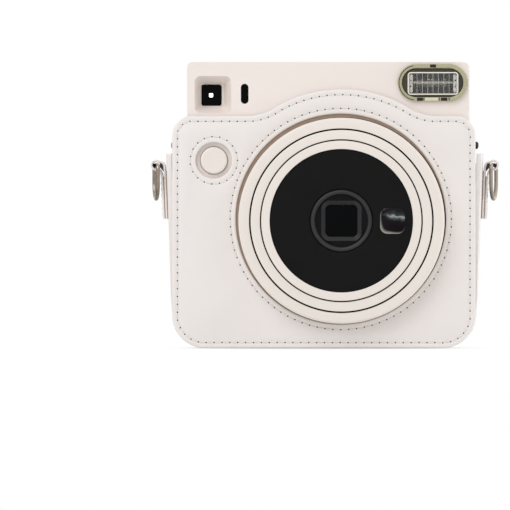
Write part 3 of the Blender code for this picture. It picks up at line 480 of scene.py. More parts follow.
@dataclass(frozen=True)
class ConvexChrome(Finish):
    """Chrome of the small convex mirror, its colour a painted reflection of dim surroundings: a dark floor,
    a bright band, a pale rim.
    """

    middle_mm: Point
    half_mm: float
    roughness: ClassVar[float] = 0.05
    ripple_mm: ClassVar[float] = 2.2
    ripple: ClassVar[float] = 0.7
    room_ripple: ClassVar[float] = 0.35
    room_tilt: ClassVar[float] = 0.06
    rim_ripple: ClassVar[float] = 0.3
    rim_lean: ClassVar[Point] = (0.3, 0.35)
    rim_reach: ClassVar[Point] = (0.62, 1.35)
    painted_lit_reach: ClassVar[Point] = (-0.9, 0.15)
    painted_unlit: ClassVar[Colour] = srgb(30, 28, 30)
    # Painted reflection: levels of the dim surroundings, from the floor up.
    painted_room: ClassVar[Stops] = [
        (0.30, srgb(24, 20, 24)), (0.52, srgb(30, 27, 30)), (0.62, srgb(70, 73, 73)),
        (0.70, srgb(150, 156, 158)), (0.76, srgb(60, 63, 64)), (0.92, srgb(34, 34, 36))]

    def inputs(self, sheet: Sheet) -> Inputs:
        """A painted reflection: levels of the surroundings by height, lost in painted dark to the left and
        in the finish's colour at the rim.

        Args:
            sheet: the material's sheet.

        Returns:
            The shader's values and signals.
        """
        across, height = (self._share(sheet, axis, middle) for axis, middle in zip("XZ", self.middle_mm))
        waver = (sheet.noise(self.ripple_mm) - 0.5) * self.ripple
        # The whole base colour is a painted reflection, with a painted rim of light.
        level = height * 0.5 + 0.5 + waver * self.room_ripple + across * self.room_tilt
        painted_lit = sheet.ease(across + waver, *self.painted_lit_reach)
        seen = sheet.mix(painted_lit, self.painted_unlit, sheet.ramp(level, self.painted_room))
        lean_x, lean_z = self.rim_lean
        edge = (across * across) ** 2 + (height * height) ** 2 - lean_x * across - lean_z * height
        rim = sheet.ease(edge + waver * self.rim_ripple, *self.rim_reach)
        return {
            "Base Color": sheet.mix(rim, seen, self.colour), "Metallic": 1.0, "Roughness": self.roughness}

    def _share(self, sheet: Sheet, axis: str, middle: float) -> Signal:
        """The place along an axis, from -1 at one edge of the mirror to 1 at the other."""
        place = sheet.node("ShaderNodeSeparateXYZ", {}, {0: sheet.place()}, axis)
        return place * (1 / (self.half_mm * MM)) - middle / self.half_mm


@dataclass(frozen=True)
class RibbedReflector(Finish):
    """Bright metal behind a ribbed lens, its colour painted with reflections drawn into upright and level
    streaks.
    """

    upright: ClassVar[Triple] = (1.0, 0.02, 0.03)
    level: ClassVar[Triple] = (0.03, 0.02, 0.8)
    level_dip: ClassVar[float] = 0.03
    detail: ClassVar[float] = 1.5
    roughness: ClassVar[float] = 0.22
    streak_matt: ClassVar[float] = 0.12
    bright_from: ClassVar[float] = 0.66
    # Painted reflection: the colours of the dark streaks.
    dark: ClassVar[Stops] = [
        (0.30, srgb(34, 32, 30)), (0.50, srgb(62, 59, 54)), (0.58, srgb(96, 92, 84))]

    def inputs(self, sheet: Sheet) -> Inputs:
        """Painted reflection: streaks from dark to the finish's colour.

        Args:
            sheet: the material's sheet.

        Returns:
            The shader's values and signals.
        """
        level = self._streaks(sheet, self.level) - self.level_dip
        streaks = self._streaks(sheet, self.upright).either(level)
        return {
            "Base Color": sheet.ramp(streaks, self.dark + [(self.bright_from, self.colour)]),
            "Metallic": 1.0, "Roughness": self.roughness + self.streak_matt * streaks}

    def _streaks(self, sheet: Sheet, scale: Triple) -> Signal:
        """Noise that is drawn out along the directions with a small scale.

        Args:
            sheet: the material's sheet.
            scale: the scale along each axis.

        Returns:
            The noise.
        """
        drawn = sheet.node("ShaderNodeVectorMath", {"operation": "MULTIPLY"}, {0: sheet.place(), 1: scale})
        inputs = {"Vector": drawn, "Scale": 1 / MM, "Detail": self.detail}
        return sheet.node("ShaderNodeTexNoise", {}, inputs)


@dataclass(frozen=True)
class ClearPlastic(Finish):
    """Clear moulded plastic with a slight tint."""

    roughness: float = 0.0
    clearness: float = 1.0
    tones: ClassVar[Point] = (0.94, 1.03)
    bending: ClassVar[float] = 1.49
    flow_mm: ClassVar[float] = 3.0
    flow_depth_mm: ClassVar[float] = 0.02
    flow_strength: ClassVar[float] = 0.2

    def inputs(self, sheet: Sheet) -> Inputs:
        """Faint flow marks in the tint and the surface.

        Args:
            sheet: the material's sheet.

        Returns:
            The shader's values and signals.
        """
        flow = sheet.noise(self.flow_mm)
        return {
            "Base Color": self.toned(sheet, flow), "Roughness": self.roughness, "IOR": self.bending,
            "Transmission Weight": self.clearness,
            "Normal": sheet.bump(flow, self.flow_depth_mm, self.flow_strength)}


WHITE_SHELL = MouldedPlastic("white_shell_satin", "white_shell", srgb(240, 230, 224), 0.44)
WHITE_RING = MouldedPlastic("white_ring_satin", "white_ring", srgb(236, 228, 220), 0.42)
BLACK_MATT = MouldedPlastic("black_moulding", "black_plastic", srgb(28, 27, 26), 0.55, 0.5, 0.02)
GREY_MATT = MouldedPlastic("grey_moulding", "grey_plastic", srgb(62, 61, 61), 0.48, 0.5, 0.02)
BOARD = MouldedPlastic("solder_mask", "board", srgb(38, 84, 52), 0.45, 1.2, 0.02, 0.3)
CELL_WRAP = MouldedPlastic("cell_wrap", "cell_wrap", srgb(60, 70, 105), 0.34, 1.5, 0.01, 0.3)
RUBBER = MouldedPlastic("ground_rubber", "rubber", srgb(32, 32, 32), 0.80, 0.4, 0.05)
FRAME_SILVER = MouldedPlastic("flash_frame_silver", "reflector", srgb(238, 234, 224), 0.28, 0.5, 0.01, 0.4)
TUBE_GLASS = MouldedPlastic("flash_tube_glass", "clear", srgb(190, 184, 178), 0.22, 0.8, 0.005, 0.6)
# White of the flash tube's end blocks, also used for the painted highlights on the flash lens's ribs.
END_WHITE_AND_HIGHLIGHT = MouldedPlastic("flash_end_white_and_highlight", "reflector", srgb(246, 243, 238), 0.30, 0.6, 0.01, 0.3)
LEATHER = CoatedLeather("white_leather", "white_leather", srgb(238, 232, 229))
# Raw leather's own colour, also used as painted shade in the strap tab's gaps.
RAW_EDGE_AND_SHADE = Fibre("raw_leather_edge_and_shade", "white_leather", srgb(158, 139, 123))
# Painted shade: the dark of needle holes and of the inside of the strap tab's loop.
HOLLOW_SHADE = Fibre("hollow_shade", "white_leather", srgb(62, 55, 52))
THREAD = Fibre("white_thread", "white_leather", srgb(236, 231, 227), 0.15)
GLOSS_BLACK = PolishedDark("lens_face_black", "black_gloss", srgb(17, 17, 17), 0.34, 0.08)
DARK_GLASS = PolishedDark("dark_window", "dark_glass", srgb(5, 6, 7), 0.06, 0.04)
HOOD_BLACK = PolishedDark("lens_hood_black", "grey_plastic", srgb(14, 14, 14), 0.55, 0.08)
HOOD_GREY = PolishedDark("lens_hood_grey", "grey_plastic", srgb(44, 44, 46), 0.42, 0.30)
RING_GREY = PolishedDark("lens_ring_grey", "grey_plastic", srgb(40, 40, 41), 0.36, 0.30)
# Dark seal material: real light seals in the lens, and painted shade in the gaps of the lens and its
# cut-out.
SEAL_AND_SHADE_FELT = PolishedDark("light_seal_and_shade_felt", "black_plastic", srgb(13, 11, 10), 0.7, 0.04)
# Brown of the flash clips, also used as painted shade in the rim's groove and slits.
CLIP_BROWN_AND_SHADE = PolishedDark("flash_clip_brown_and_shade", "black_plastic", srgb(34, 28, 18), 0.40, 0.25)
FLASH_BED = PolishedDark("flash_bed_olive", "clear", srgb(62, 59, 48), 0.25, 0.30)
MIRROR = ConvexChrome("mirror_chrome", "mirror", srgb(150, 146, 140), middle_mm=(30.6, 56.3), half_mm=5.6)
PLATED = Metal("plated_metal", "steel", srgb(158, 147, 134), 0.14)
REFLECTOR = RibbedReflector("streaked_reflector", "reflector", srgb(236, 232, 220))
CLEAR = ClearPlastic("flash_clear", "clear", srgb(252, 252, 246))
CLEAR_RIM = ClearPlastic("flash_rim_olive", "clear", srgb(196, 190, 156), 0.16, 0.25)
CLEAR_BAR = ClearPlastic("flash_bar_pale", "clear", srgb(232, 227, 196), 0.20, 0.15)
FINDER_GLASS = ClearPlastic("finder_clear", "dark_glass", srgb(240, 244, 244))

_made: dict[str, bpy.types.Material] = {}


def material_of(finish: Finish) -> bpy.types.Material:
    """The finish's material, built once.

    Args:
        finish: the finish.

    Returns:
        Its material.
    """
    if finish.name not in _made:
        _made[finish.name] = finish.make()
    return _made[finish.name]


@dataclass(frozen=True)
class Span:
    """A node's box in millimetres."""

    low: Vector
    high: Vector

    @classmethod
    def of(cls, node: str) -> "Span":
        """Read a node's box from the frame."""
        low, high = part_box(node)
        return cls(Vector(low) / MM, Vector(high) / MM)

    @property
    def middle(self) -> Vector:
        """The box's centre."""
        return (self.low + self.high) / 2

    @property
    def face(self) -> Point:
        """The box's centre as seen from the front, in X and Z."""
        return self.middle.x, self.middle.z

    @property
    def size(self) -> Vector:
        """The box's lengths."""
        return self.high - self.low

    @property
    def radius(self) -> float:
        """Half the box's width."""
        return self.size.x / 2


def arc(centre: Point, radius: float, start: float, end: float, steps: int) -> list[Point]:
    """Points on a circle between two angles in degrees, both ends kept."""
    angles = [radians(start + (end - start) * i / steps) for i in range(steps + 1)]
    return [(centre[0] + radius * cos(a), centre[1] + radius * sin(a)) for a in angles]


def rounded(corners: list[Triple], steps: int = 8) -> list[Point]:
    """Points of an outline whose (x, y, radius) corners are arcs.

    Args:
        corners: the corners in order.
        steps: segments of each arc.

    Returns:
        The outline's points.
    """
    points = []
    for i, (x, y, radius) in enumerate(corners):
        before = corners[i - 1]
        after = corners[(i + 1) % len(corners)]
        back = atan2(before[1] - y, before[0] - x)
        ahead = atan2(after[1] - y, after[0] - x)
        turn = (ahead - back + pi) % (2 * pi) - pi
        reach = radius / abs(sin(turn / 2))
        middle = back + turn / 2
        centre = (x + reach * cos(middle), y + reach * sin(middle))
        sweep = (pi - abs(turn)) * (1 if turn > 0 else -1)
        first = degrees(middle + pi + sweep / 2)
        points += arc(centre, radius, first, first - degrees(sweep), steps)
    return points


def smooth(path: list[Point], rounds: int) -> list[Point]:
    """Cut the corners of an open path, its ends kept.

    Args:
        path: the path's points.
        rounds: how many times its corners are cut.

    Returns:
        The smoother path.
    """
    for _ in range(rounds):
        cut = [path[0]]
        for (ax, ay), (bx, by) in zip(path, path[1:]):
            cut += [(ax + share * (bx - ax), ay + share * (by - ay)) for share in (0.25, 0.75)]
        path = cut + [path[-1]]
    return path


def directions(path: list[Point], closed: bool = False) -> list[Point]:
    """The unit direction of a path at each of its points.

    Args:
        path: the path's points.
        closed: the last point leads back to the first.

    Returns:
        A direction for each point.
    """
    found = []
    last = len(path) - 1
    for i in range(len(path)):
        ax, ay = path[i - 1] if closed else path[max(i - 1, 0)]
        bx, by = path[(i + 1) % len(path)] if closed else path[min(i + 1, last)]
        length = hypot(bx - ax, by - ay)
        found.append(((bx - ax) / length, (by - ay) / length))
    return found


@dataclass
class Outline:
    """A closed outline in millimetres that runs anticlockwise."""

    points: list[Point]

    @classmethod
    def circle(cls, centre: Point, radius: float, steps: int = FINE) -> "Outline":
        """A round outline."""
        return cls(arc(centre, radius, 0, 360, steps)[:-1])

    @classmethod
    def block(cls, centre: Point, width: float, height: float, radius: float, steps: int = 10) -> "Outline":
        """A rectangle with round corners.

        Args:
            centre: its middle.
            width: its whole width.
            height: its whole height.
            radius: the radius of its corners.
            steps: segments of each corner.

        Returns:
            The outline.
        """
        a, b = width / 2, height / 2
        x, y = centre
        return cls(rounded([(x - a, y - b, radius), (x + a, y - b, radius),
                            (x + a, y + b, radius), (x - a, y + b, radius)], steps))

    def inset(self, distance: float) -> "Outline":
        """The outline drawn in by a distance, or out if it is negative."""
        pairs = zip(self.points, directions(self.points, closed=True))
        return Outline([(x - distance * dy, y + distance * dx) for (x, y), (dx, dy) in pairs])

    def spaced(self, pitch: float) -> list[tuple[Point, Point]]:
        """Evenly spaced points along the outline, each with its direction.

        Args:
            pitch: the wanted spacing, which is adjusted to fit a whole number.

        Returns:
            Pairs of a point and a unit direction.
        """
        ends = self.points[1:] + self.points[:1]
        lengths = [hypot(b[0] - a[0], b[1] - a[1]) for a, b in zip(self.points, ends)]
        total = sum(lengths)
        step = total / max(round(total / pitch), 1)
        found = []
        travelled = 0.0
        target = step / 2
        for a, b, length in zip(self.points, ends, lengths):
            while length > 0 and target < travelled + length:
                share = (target - travelled) / length
                direction = ((b[0] - a[0]) / length, (b[1] - a[1]) / length)
                found.append(((a[0] + share * (b[0] - a[0]), a[1] + share * (b[1] - a[1])), direction))
                target += step
            travelled += length
        return found


class Plane(Enum):
    """The plane that points are drawn in. Their depth runs along the axis that is left."""

    XZ = "front"
    YZ = "side"

    def at(self, points: list[Point], depth: float) -> list[Vector]:
        """The points at a depth, in the part's frame.

        Args:
            points: places in the plane.
            depth: how deep they lie.

        Returns:
            The points in three dimensions.
        """
        if self is Plane.XZ:
            return [Vector((a, depth, b)) for a, b in points]
        return [Vector((depth, a, b)) for a, b in points]


def soft_section(back: float, front: float, radius: float, steps: int = 4) -> Section:
    """The section of a plate with round edges between two depths.

    Args:
        back: the depth of the back.
        front: the depth of the front.
        radius: the radius of both edges.
        steps: segments of each edge.

    Returns:
        (inset, depth) pairs from back to front.
    """
    away = 1 if front > back else -1
    turns = [pi / 2 * i / steps for i in range(steps + 1)]
    rear = [(radius * (1 - sin(t)), back + away * radius * (1 - cos(t))) for t in turns]
    ahead = [(radius * (1 - cos(t)), front - away * radius * (1 - sin(t))) for t in turns]
    return rear + ahead


def square_section(inner: float, outer: float, near: float, far: float) -> Section:
    """The (radius, depth) section of a plain ring."""
    return [(inner, near), (inner, far), (outer, far), (outer, near)]


@dataclass
class Piece:
    """A mesh piece while it is made, in millimetres, with its finish and the body that carries it."""

    name: str
    finish: Finish
    body: Body = Body.CAMERA
    work: bmesh.types.BMesh = field(default_factory=bmesh.new)

    def loop(self, spots: list[Vector]) -> Loop:
        """Add a loop of points."""
        return [self.work.verts.new(spot * MM) for spot in spots]

    def bridge(self, loops: list[Loop]) -> None:
        """Join each loop to the next with quads.

        Args:
            loops: loops of the same length.
        """
        for first, second in zip(loops, loops[1:]):
            for i, vert in enumerate(first):
                j = (i + 1) % len(first)
                self.work.faces.new((vert, first[j], second[j], second[i]))

    def fan(self, loop: Loop, tip: Vector) -> None:
        """Close a loop to a point.

        Args:
            loop: the loop.
            tip: the point, in millimetres.
        """
        end = self.work.verts.new(tip * MM)
        for i, vert in enumerate(loop):
            self.work.faces.new((vert, loop[(i + 1) % len(loop)], end))

    def fill(self, loops: list[Loop]) -> None:
        """Close the area between an outer loop and the loops of its holes.

        Args:
            loops: the outer loop and its holes.
        """
        pairs = [pair for loop in loops for pair in zip(loop, loop[1:] + loop[:1])]
        edges = [self.work.edges.get(pair) or self.work.edges.new(pair) for pair in pairs]
        bmesh.ops.triangle_fill(self.work, edges=edges, use_beauty=True)

    def skin(self, sections: list[list[Vector]], closed: bool = False) -> "Piece":
        """Add a skin over a row of sections.

        Args:
            sections: the loops of points in order.
            closed: the last section joins the first, in place of two flat ends.

        Returns:
            The piece itself.
        """
        loops = [self.loop(section) for section in sections]
        self.bridge(loops + loops[:1] if closed else loops)
        if not closed:
            self.work.faces.new(loops[0])
            self.work.faces.new(loops[-1])
        return self

    def slab(self, outer: Outline, section: Section, holes: tuple[Outline, ...] = ()) -> "Piece":
        """Add an upright plate whose edges follow a section, round its outline and its holes.

        Args:
            outer: the plate's outline.
            section: (inset, depth) pairs from the back of the edge to its front.
            holes: the outlines cut out of it.

        Returns:
            The piece itself.
        """
        walls = []
        for outline, sign in [(outer, 1)] + [(hole, -1) for hole in holes]:
            drawn = [Plane.XZ.at(outline.inset(sign * inset).points, depth) for inset, depth in section]
            walls.append([self.loop(spots) for spots in drawn])
            self.bridge(walls[-1])
        self.fill([wall[0] for wall in walls])
        self.fill([wall[-1] for wall in walls])
        return self

    def turn(self, centre: Point, profile: Section, steps: int = FINE) -> "Piece":
        """Add a ring: a closed (radius, depth) profile turned about an axis along Y."""
        return self.skin([Plane.XZ.at(Outline.circle(centre, radius, steps).points, depth)
                          for radius, depth in profile], closed=True)

    def turn_solid(self, centre: Point, profile: Section, steps: int, plane: Plane = Plane.XZ) -> "Piece":
        """Add a solid: a (radius, depth) profile from axis to axis, turned.

        Args:
            centre: the axis, as a point of the plane.
            profile: the section, whose ends lie on the axis.
            steps: segments round the axis.
            plane: the plane that the axis stands on.

        Returns:
            The piece itself.
        """
        loops = [self.loop(plane.at(Outline.circle(centre, radius, steps).points, depth))
                 for radius, depth in profile[1:-1]]
        self.bridge(loops)
        for loop, (_, depth) in ((loops[0], profile[0]), (loops[-1], profile[-1])):
            self.fan(loop, plane.at([centre], depth)[0])
        return self

    def done(self, replaces: tuple[str, ...] = (), sharp_deg: float = 40.0) -> bpy.types.Object:
        """Turn the mesh into an object that rides on its body.

        Args:
            replaces: the nodes that this piece stands for.
            sharp_deg: edges that turn by more than this stay sharp.

        Returns:
            The finished object.
        """
        bmesh.ops.recalc_face_normals(self.work, faces=self.work.faces)
        mesh = mesh_of(self.name, self.work)
        mesh.shade_smooth()
        mesh.set_sharp_from_angle(angle=radians(sharp_deg))
        mesh.materials.append(material_of(self.finish))
        made = linked(self.name, mesh)
        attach(made, self.body.value)
        if replaces:
            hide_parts(*replaces)
        LOG.info("piece %s on %s", self.name, self.body.value)
        return made


def mesh_of(name: str, work: bmesh.types.BMesh) -> bpy.types.Mesh:
    """A mesh from a finished piece of mesh work.

    Args:
        name: the mesh's name.
        work: the mesh work, which ends here.

    Returns:
        The mesh.
    """
    mesh = bpy.data.meshes.new(name)
    work.to_mesh(mesh)
    work.free()
    return mesh


def linked(name: str, data: bpy.types.ID) -> bpy.types.Object:
    """A new object in the scene.

    Args:
        name: the object's name.
        data: the mesh, camera or light that it shows.

    Returns:
        The object.
    """
    made = bpy.data.objects.new(name, data)
    bpy.context.scene.collection.objects.link(made)
    return made


def carve(target: bpy.types.Object, cutter: bpy.types.Mesh) -> None:
    """Cut a shape out of a piece for good.

    Args:
        target: the piece to cut.
        cutter: the shape to take away, in the part's frame.
    """
    tool = linked("cutter", cutter)
    step = target.modifiers.new("carve", "BOOLEAN")
    step.solver = "EXACT"
    step.object = tool
    bpy.context.view_layer.update()
    evaluated = target.evaluated_get(bpy.context.evaluated_depsgraph_get())
    result = bpy.data.meshes.new_from_object(evaluated)
    target.modifiers.remove(step)
    target.data = result
    bpy.data.objects.remove(tool, do_unlink=True)


@dataclass(frozen=True)
class Seam:
    """A row of stitches: thread that dips into a hole at each end, a dimple painted dark as shade."""

    pitch: float = 3.5
    length: float = 2.5
    thickness: float = 0.22
    hole: float = 0.36
    hole_taper: float = 0.7
    hole_floor: float = 0.12
    hole_tip: float = 0.15
    hole_rim: float = 0.07
    tip_reach: float = 0.1
    tip_sink: float = 0.9
    sides: int = 6
    sharp_deg: float = 80
    stations: ClassVar[tuple[Triple, ...]] = (
        (-0.5, 0.55, -0.5), (-0.25, 0.95, 0.25), (0.0, 1.0, 0.45), (0.25, 0.95, 0.25), (0.5, 0.55, -0.5))

    def sew(self, name: str, rows: list[list[Stitch]]) -> None:
        """Make the thread and the holes of some rows.

        Args:
            name: the seam's name.
            rows: for each row, the (place, direction, outward normal) of its stitches, in millimetres.
        """
        thread = Piece(f"{name}_thread", THREAD)
        holes = Piece(f"{name}_holes", HOLLOW_SHADE)
        for row in rows:
            for place, along, out in row:
                self._thread(thread, place, along, out)
                self._hole(holes, place - along * self.pitch / 2, along, out)
        thread.done(sharp_deg=self.sharp_deg)
        holes.done(sharp_deg=self.sharp_deg)

    def _round(self, place: Vector, first: Vector, second: Vector) -> list[Vector]:
        """Points round a place, spread by two axes."""
        turns = [2 * pi * i / self.sides for i in range(self.sides)]
        return [place + first * cos(turn) + second * sin(turn) for turn in turns]

    def _thread(self, piece: Piece, place: Vector, along: Vector, out: Vector) -> None:
        """One stitch, fullest in its middle, from its stations (share of length, girth, lift).

        Args:
            piece: the thread's piece.
            place: the stitch's middle.
            along: its direction.
            out: the way that the leather faces.
        """
        across = along.cross(out)
        loops = []
        for share, girth, lift in self.stations:
            spot = place + along * (share * self.length) + out * (lift * self.thickness)
            size = girth * self.thickness
            loops.append(piece.loop(self._round(spot, across * size, out * size)))
        piece.bridge(loops)
        reach = along * (self.length / 2 + self.tip_reach)
        sunk = place - out * (self.tip_sink * self.thickness)
        piece.fan(loops[0], sunk - reach)
        piece.fan(loops[-1], sunk + reach)

    def _hole(self, piece: Piece, place: Vector, along: Vector, out: Vector) -> None:
        """One needle hole, a dimple with a low rim, painted dark as its shade.

        Args:
            piece: the holes' piece.
            place: the hole's middle.
            along: the row's direction.
            out: the way that the leather faces.
        """
        across = along.cross(out)
        loops = [piece.loop(self._round(place - out * depth, along * radius, across * radius))
                 for depth, radius in ((0.0, self.hole), (self.hole_floor, self.hole * self.hole_taper))]
        piece.bridge(loops)
        piece.fan(loops[0], place + out * self.hole_rim)
        piece.fan(loops[1], place - out * self.hole_tip)


def flat_row(outline: Outline, pitch: float, depth: float, facing: int) -> list[Stitch]:
    """Stitch places along an outline on a panel that faces along Y.

    Args:
        outline: the row's line.
        pitch: the spacing of the stitches.
        depth: the leather's surface in Y.
        facing: the sign of the outward normal along Y.

    Returns:
        (place, direction, normal) of each stitch, in millimetres.
    """
    out = Vector((0, facing, 0))
    return [(Vector((x, depth, z)), Vector((dx, 0, dz)), out) for (x, z), (dx, dz) in outline.spaced(pitch)]


@dataclass
class HalfCase:
    """The stitched leather half-case: front panel, gusset and back panel."""

    flat_top: float = 102.8
    top_corner: float = 9.0
    bottom_corner: float = 14.5
    back_corner: float = 6.0
    arch_radius: float = 58.2
    arch_fillet: float = 22.0
    cutout_radius: float = 46.6
    cutout_offset: Point = (-0.4, 0.75)
    button_cutout: float = 8.0
    counter_cutout: float = 5.0
    opening_left: float = -46.5
    opening_right: float = 54.2
    opening_low: float = 5.2
    opening_rounds: Point = (3.0, 4.0)
    edge: float = 0.7
    seam: Seam = Seam()
    seam_inset: float = 2.4
    channel_half: float = 0.7
    channel_depth: float = 0.18
    stitch_sink: float = 0.1
    stitch_rise: float = 0.03
    row_ease: float = 0.3
    lining_gap: float = 0.22
    lining_shift: float = 0.2
    lining_sink: float = 1.0
    lining_ease: float = 0.05
    shade_ring_gaps: Point = (0.06, 0.6)
    shade_ring_sink: float = 1.3
    gusset_thick: float = 2.0
    gusset_swell: float = 0.9
    battery_margin: float = 1.6
    battery_hinge: float = 2.7
    battery_depth: float = 3.0
    fillet_steps: ClassVar[int] = 14
    corner_steps: ClassVar[int] = 20
    arch_steps: ClassVar[int] = 60
    gusset_steps: ClassVar[tuple[int, int, int]] = (8, 16, 12)

    def __post_init__(self) -> None:
        """Read the places from the frame."""
        self.front = Span.of("case_front_panel")
        self.back = Span.of("case_back_panel")
        self.half = self.front.high.x
        self.lens = Span.of("lens_dial").face
        self.cutout = (self.lens[0] + self.cutout_offset[0], self.lens[1] + self.cutout_offset[1])

    def front_outline(self) -> Outline:
        """Round corners, and an arch over the lens that runs into the flat top by two fillets.

        Returns:
            The front panel's outline.
        """
        x, z = self.lens
        rise = self.flat_top + self.arch_fillet - z
        reach = sqrt((self.arch_radius + self.arch_fillet) ** 2 - rise ** 2)
        lean = degrees(atan2(rise, reach))
        low, high, fillet = self.bottom_corner, self.top_corner, self.arch_fillet
        side, top = self.half - high, self.flat_top - high
        points = arc((self.half - low, low), low, -90, 0, self.corner_steps)
        points += arc((side, top), high, 0, 90, self.fillet_steps)
        points += arc((x + reach, self.flat_top + fillet), fillet, 270, 180 + lean, self.fillet_steps)
        points += arc(self.lens, self.arch_radius, lean, 180 - lean, self.arch_steps)[1:-1]
        points += arc((x - reach, self.flat_top + fillet), fillet, 360 - lean, 270, self.fillet_steps)
        points += arc((-side, top), high, 90, 180, self.fillet_steps)
        points += arc((low - self.half, low), low, 180, 270, self.corner_steps)
        return Outline(points)

    def back_outline(self) -> Outline:
        """A frame that is open at the top, round the film door.

        Returns:
            The back panel's outline.
        """
        half, top, sill = self.half, self.back.high.z, self.opening_low
        low, high = self.bottom_corner, self.back_corner
        left, right = self.opening_left, self.opening_right
        upper, lower = self.opening_rounds
        return Outline(rounded([
            (-half, 0, low), (half, 0, low), (half, top, high), (right, top, upper), (right, sill, lower),
            (left, sill, lower), (left, top, upper), (-half, top, high)], self.fillet_steps))

    def panel_section(self, hidden: float, shown: float) -> Section:
        """A round edge, then the shallow channel that the stitches pull into the leather.

        Args:
            hidden: the depth of the panel's inner face.
            shown: the depth of its outer face.

        Returns:
            (inset, depth) pairs from the inner face to the outer.
        """
        away = 1 if shown > hidden else -1
        shares = ((-1, 0), (-0.5, 2 / 3), (0, 1), (0.5, 2 / 3), (1, 0))
        channel = [(self.seam_inset + across * self.channel_half, shown - away * sunk * self.channel_depth)
                   for across, sunk in shares]
        return soft_section(hidden, shown, self.edge) + channel

    def build(self) -> None:
        """Make the panels, the gusset, the lining and the seams."""
        self._front_panel()
        self._lining()
        self._back_panel()
        self._gusset()

    def _front_panel(self) -> None:
        """The front panel with its lens and button cut-outs and the stitches."""
        outline = self.front_outline()
        cutout = Outline.circle(self.cutout, self.cutout_radius)
        button = Outline.circle(Span.of("shutter_button").face, self.button_cutout, steps=60)
        section = self.panel_section(self.front.high.y, self.front.low.y)
        panel = Piece("case_front_leather", LEATHER).slab(outline, section, (cutout, button))
        panel.done(("case_front_panel",))
        lines = [outline.inset(self.seam_inset)]
        lines += [hole.inset(-self.seam_inset) for hole in (cutout, button)]
        depth = self.front.low.y + self.stitch_sink
        self.seam.sew("case_front_seam", [flat_row(line, self.seam.pitch, depth, -1) for line in lines])

    def _lining(self) -> None:
        """The raw edge between the cut-out and the dial, and a dark ring of painted shade in the gap beside
        the dial.
        """
        back, front = self.front.high.y, self.front.low.y
        dial = Span.of("lens_dial").radius
        outer = Outline.circle(self.cutout, self.cutout_radius - self.lining_ease)
        # The lining's hole sits off to the right, so that the painted shade ring shows only on the right of
        # the dial.
        inner = Outline.circle((self.lens[0] + self.lining_shift, self.lens[1]), dial + self.lining_gap)
        section = [(0.0, back), (0.0, front + self.lining_sink)]
        Piece("lens_cutout_lining", RAW_EDGE_AND_SHADE).slab(outer, section, (inner,)).done()
        # A dark ring of painted shade for the deep gap beside the dial.
        near, far = (dial + gap for gap in self.shade_ring_gaps)
        shade_ring = square_section(near, far, front + self.shade_ring_sink, back)
        Piece("lens_cutout_shade_ring", SEAL_AND_SHADE_FELT).turn(self.lens, shade_ring).done()

    def _back_panel(self) -> None:
        """The back panel's frame with its counter hole, and stitches everywhere but under the opening."""
        outline = self.back_outline()
        hole = Outline.circle(Span.of("counter_window").face, self.counter_cutout, steps=48)
        section = soft_section(self.back.low.y, self.back.high.y, self.edge)
        Piece("case_back_leather", LEATHER).slab(outline, section, (hole,)).done(("case_back_panel",))
        line = outline.inset(self.seam_inset)
        row = flat_row(line, self.seam.pitch, self.back.high.y + self.stitch_rise, 1)
        sill = self.opening_low - self.seam_inset
        kept = [stitch for stitch in row if abs(stitch[0].z - sill) > self.row_ease
                or not self.opening_left <= stitch[0].x <= self.opening_right]
        self.seam.sew("case_back_seam", [kept])

    def _gusset(self) -> None:
        """The band round the sides and bottom, which opens to its top and swells between its seams."""
        span = Span.of("case_gusset")
        low, half, top = self.bottom_corner, self.half, span.high.z
        side_steps, turn_steps, across_steps = self.gusset_steps
        flare = span.high.x - half
        heights = [low + (top - low) * i / side_steps for i in range(1, side_steps + 1)]
        right = arc((half - low, low), low, 270, 360, turn_steps)
        right += [(half + flare * z / top, z) for z in heights]
        path = [(-x, z) for x, z in reversed(right)] + [(0.0, 0.0)] + right
        shares = [i / across_steps for i in range(across_steps + 1)]
        sections = []
        for (x, z), (dx, dz) in zip(path, directions(path)):
            swell = self.gusset_swell * abs(dz) * z / top
            rises = [(share, swell * (1 - (2 * share - 1) ** 2)) for share in shares]
            rises += [(share, -self.gusset_thick) for share in reversed(shares)]
            sections.append([Vector((x + dz * rise, span.low.y + share * span.size.y, z - dx * rise))
                             for share, rise in rises])
        band = Piece("case_gusset_leather", LEATHER).skin(sections).done(("case_gusset",), sharp_deg=50)
        carve(band, self._battery_cutout())

    def _battery_cutout(self) -> bpy.types.Mesh:
        """The block that clears the battery door in the band's bottom.

        Returns:
            The block's mesh, in the part's frame.
        """
        door = Span.of("battery_door")
        margin = self.battery_margin
        low = door.low - Vector((self.battery_hinge, margin, self.battery_depth))
        high = door.high + Vector((margin, margin, 0))
        work = bmesh.new()
        bmesh.ops.create_cube(work, size=1.0)
        for vert in work.verts:
            vert.co = Vector([(high[i] if vert.co[i] > 0 else low[i]) * MM for i in range(3)])
        return mesh_of("battery_cutout", work)


@dataclass(frozen=True)
class BarrelRing:
    """A white ring of the lens: a wall, and a flange that reaches in at its front."""

    body: Body
    nose: float
    heel: float
    wall: float
    flange: float
    lip: float
    ease: float
    inside: ClassVar[float] = 0.2
    bore: ClassVar[float] = 0.18

    def corners(self) -> list[Triple]:
        """The section's corners as (radius, depth, rounding), within the node's box.

        Returns:
            The corners in order.
        """
        span = Span.of(self.body.value)
        front, back, lip = span.low.y, span.high.y, span.low.y + self.lip
        radius = span.radius - self.ease
        wall, flange = radius - self.wall, radius - self.flange
        return [(radius, front, self.nose), (radius, back, self.heel), (wall, back, self.inside),
                (wall, lip, self.inside), (flange, lip, self.inside), (flange, front, self.bore)]


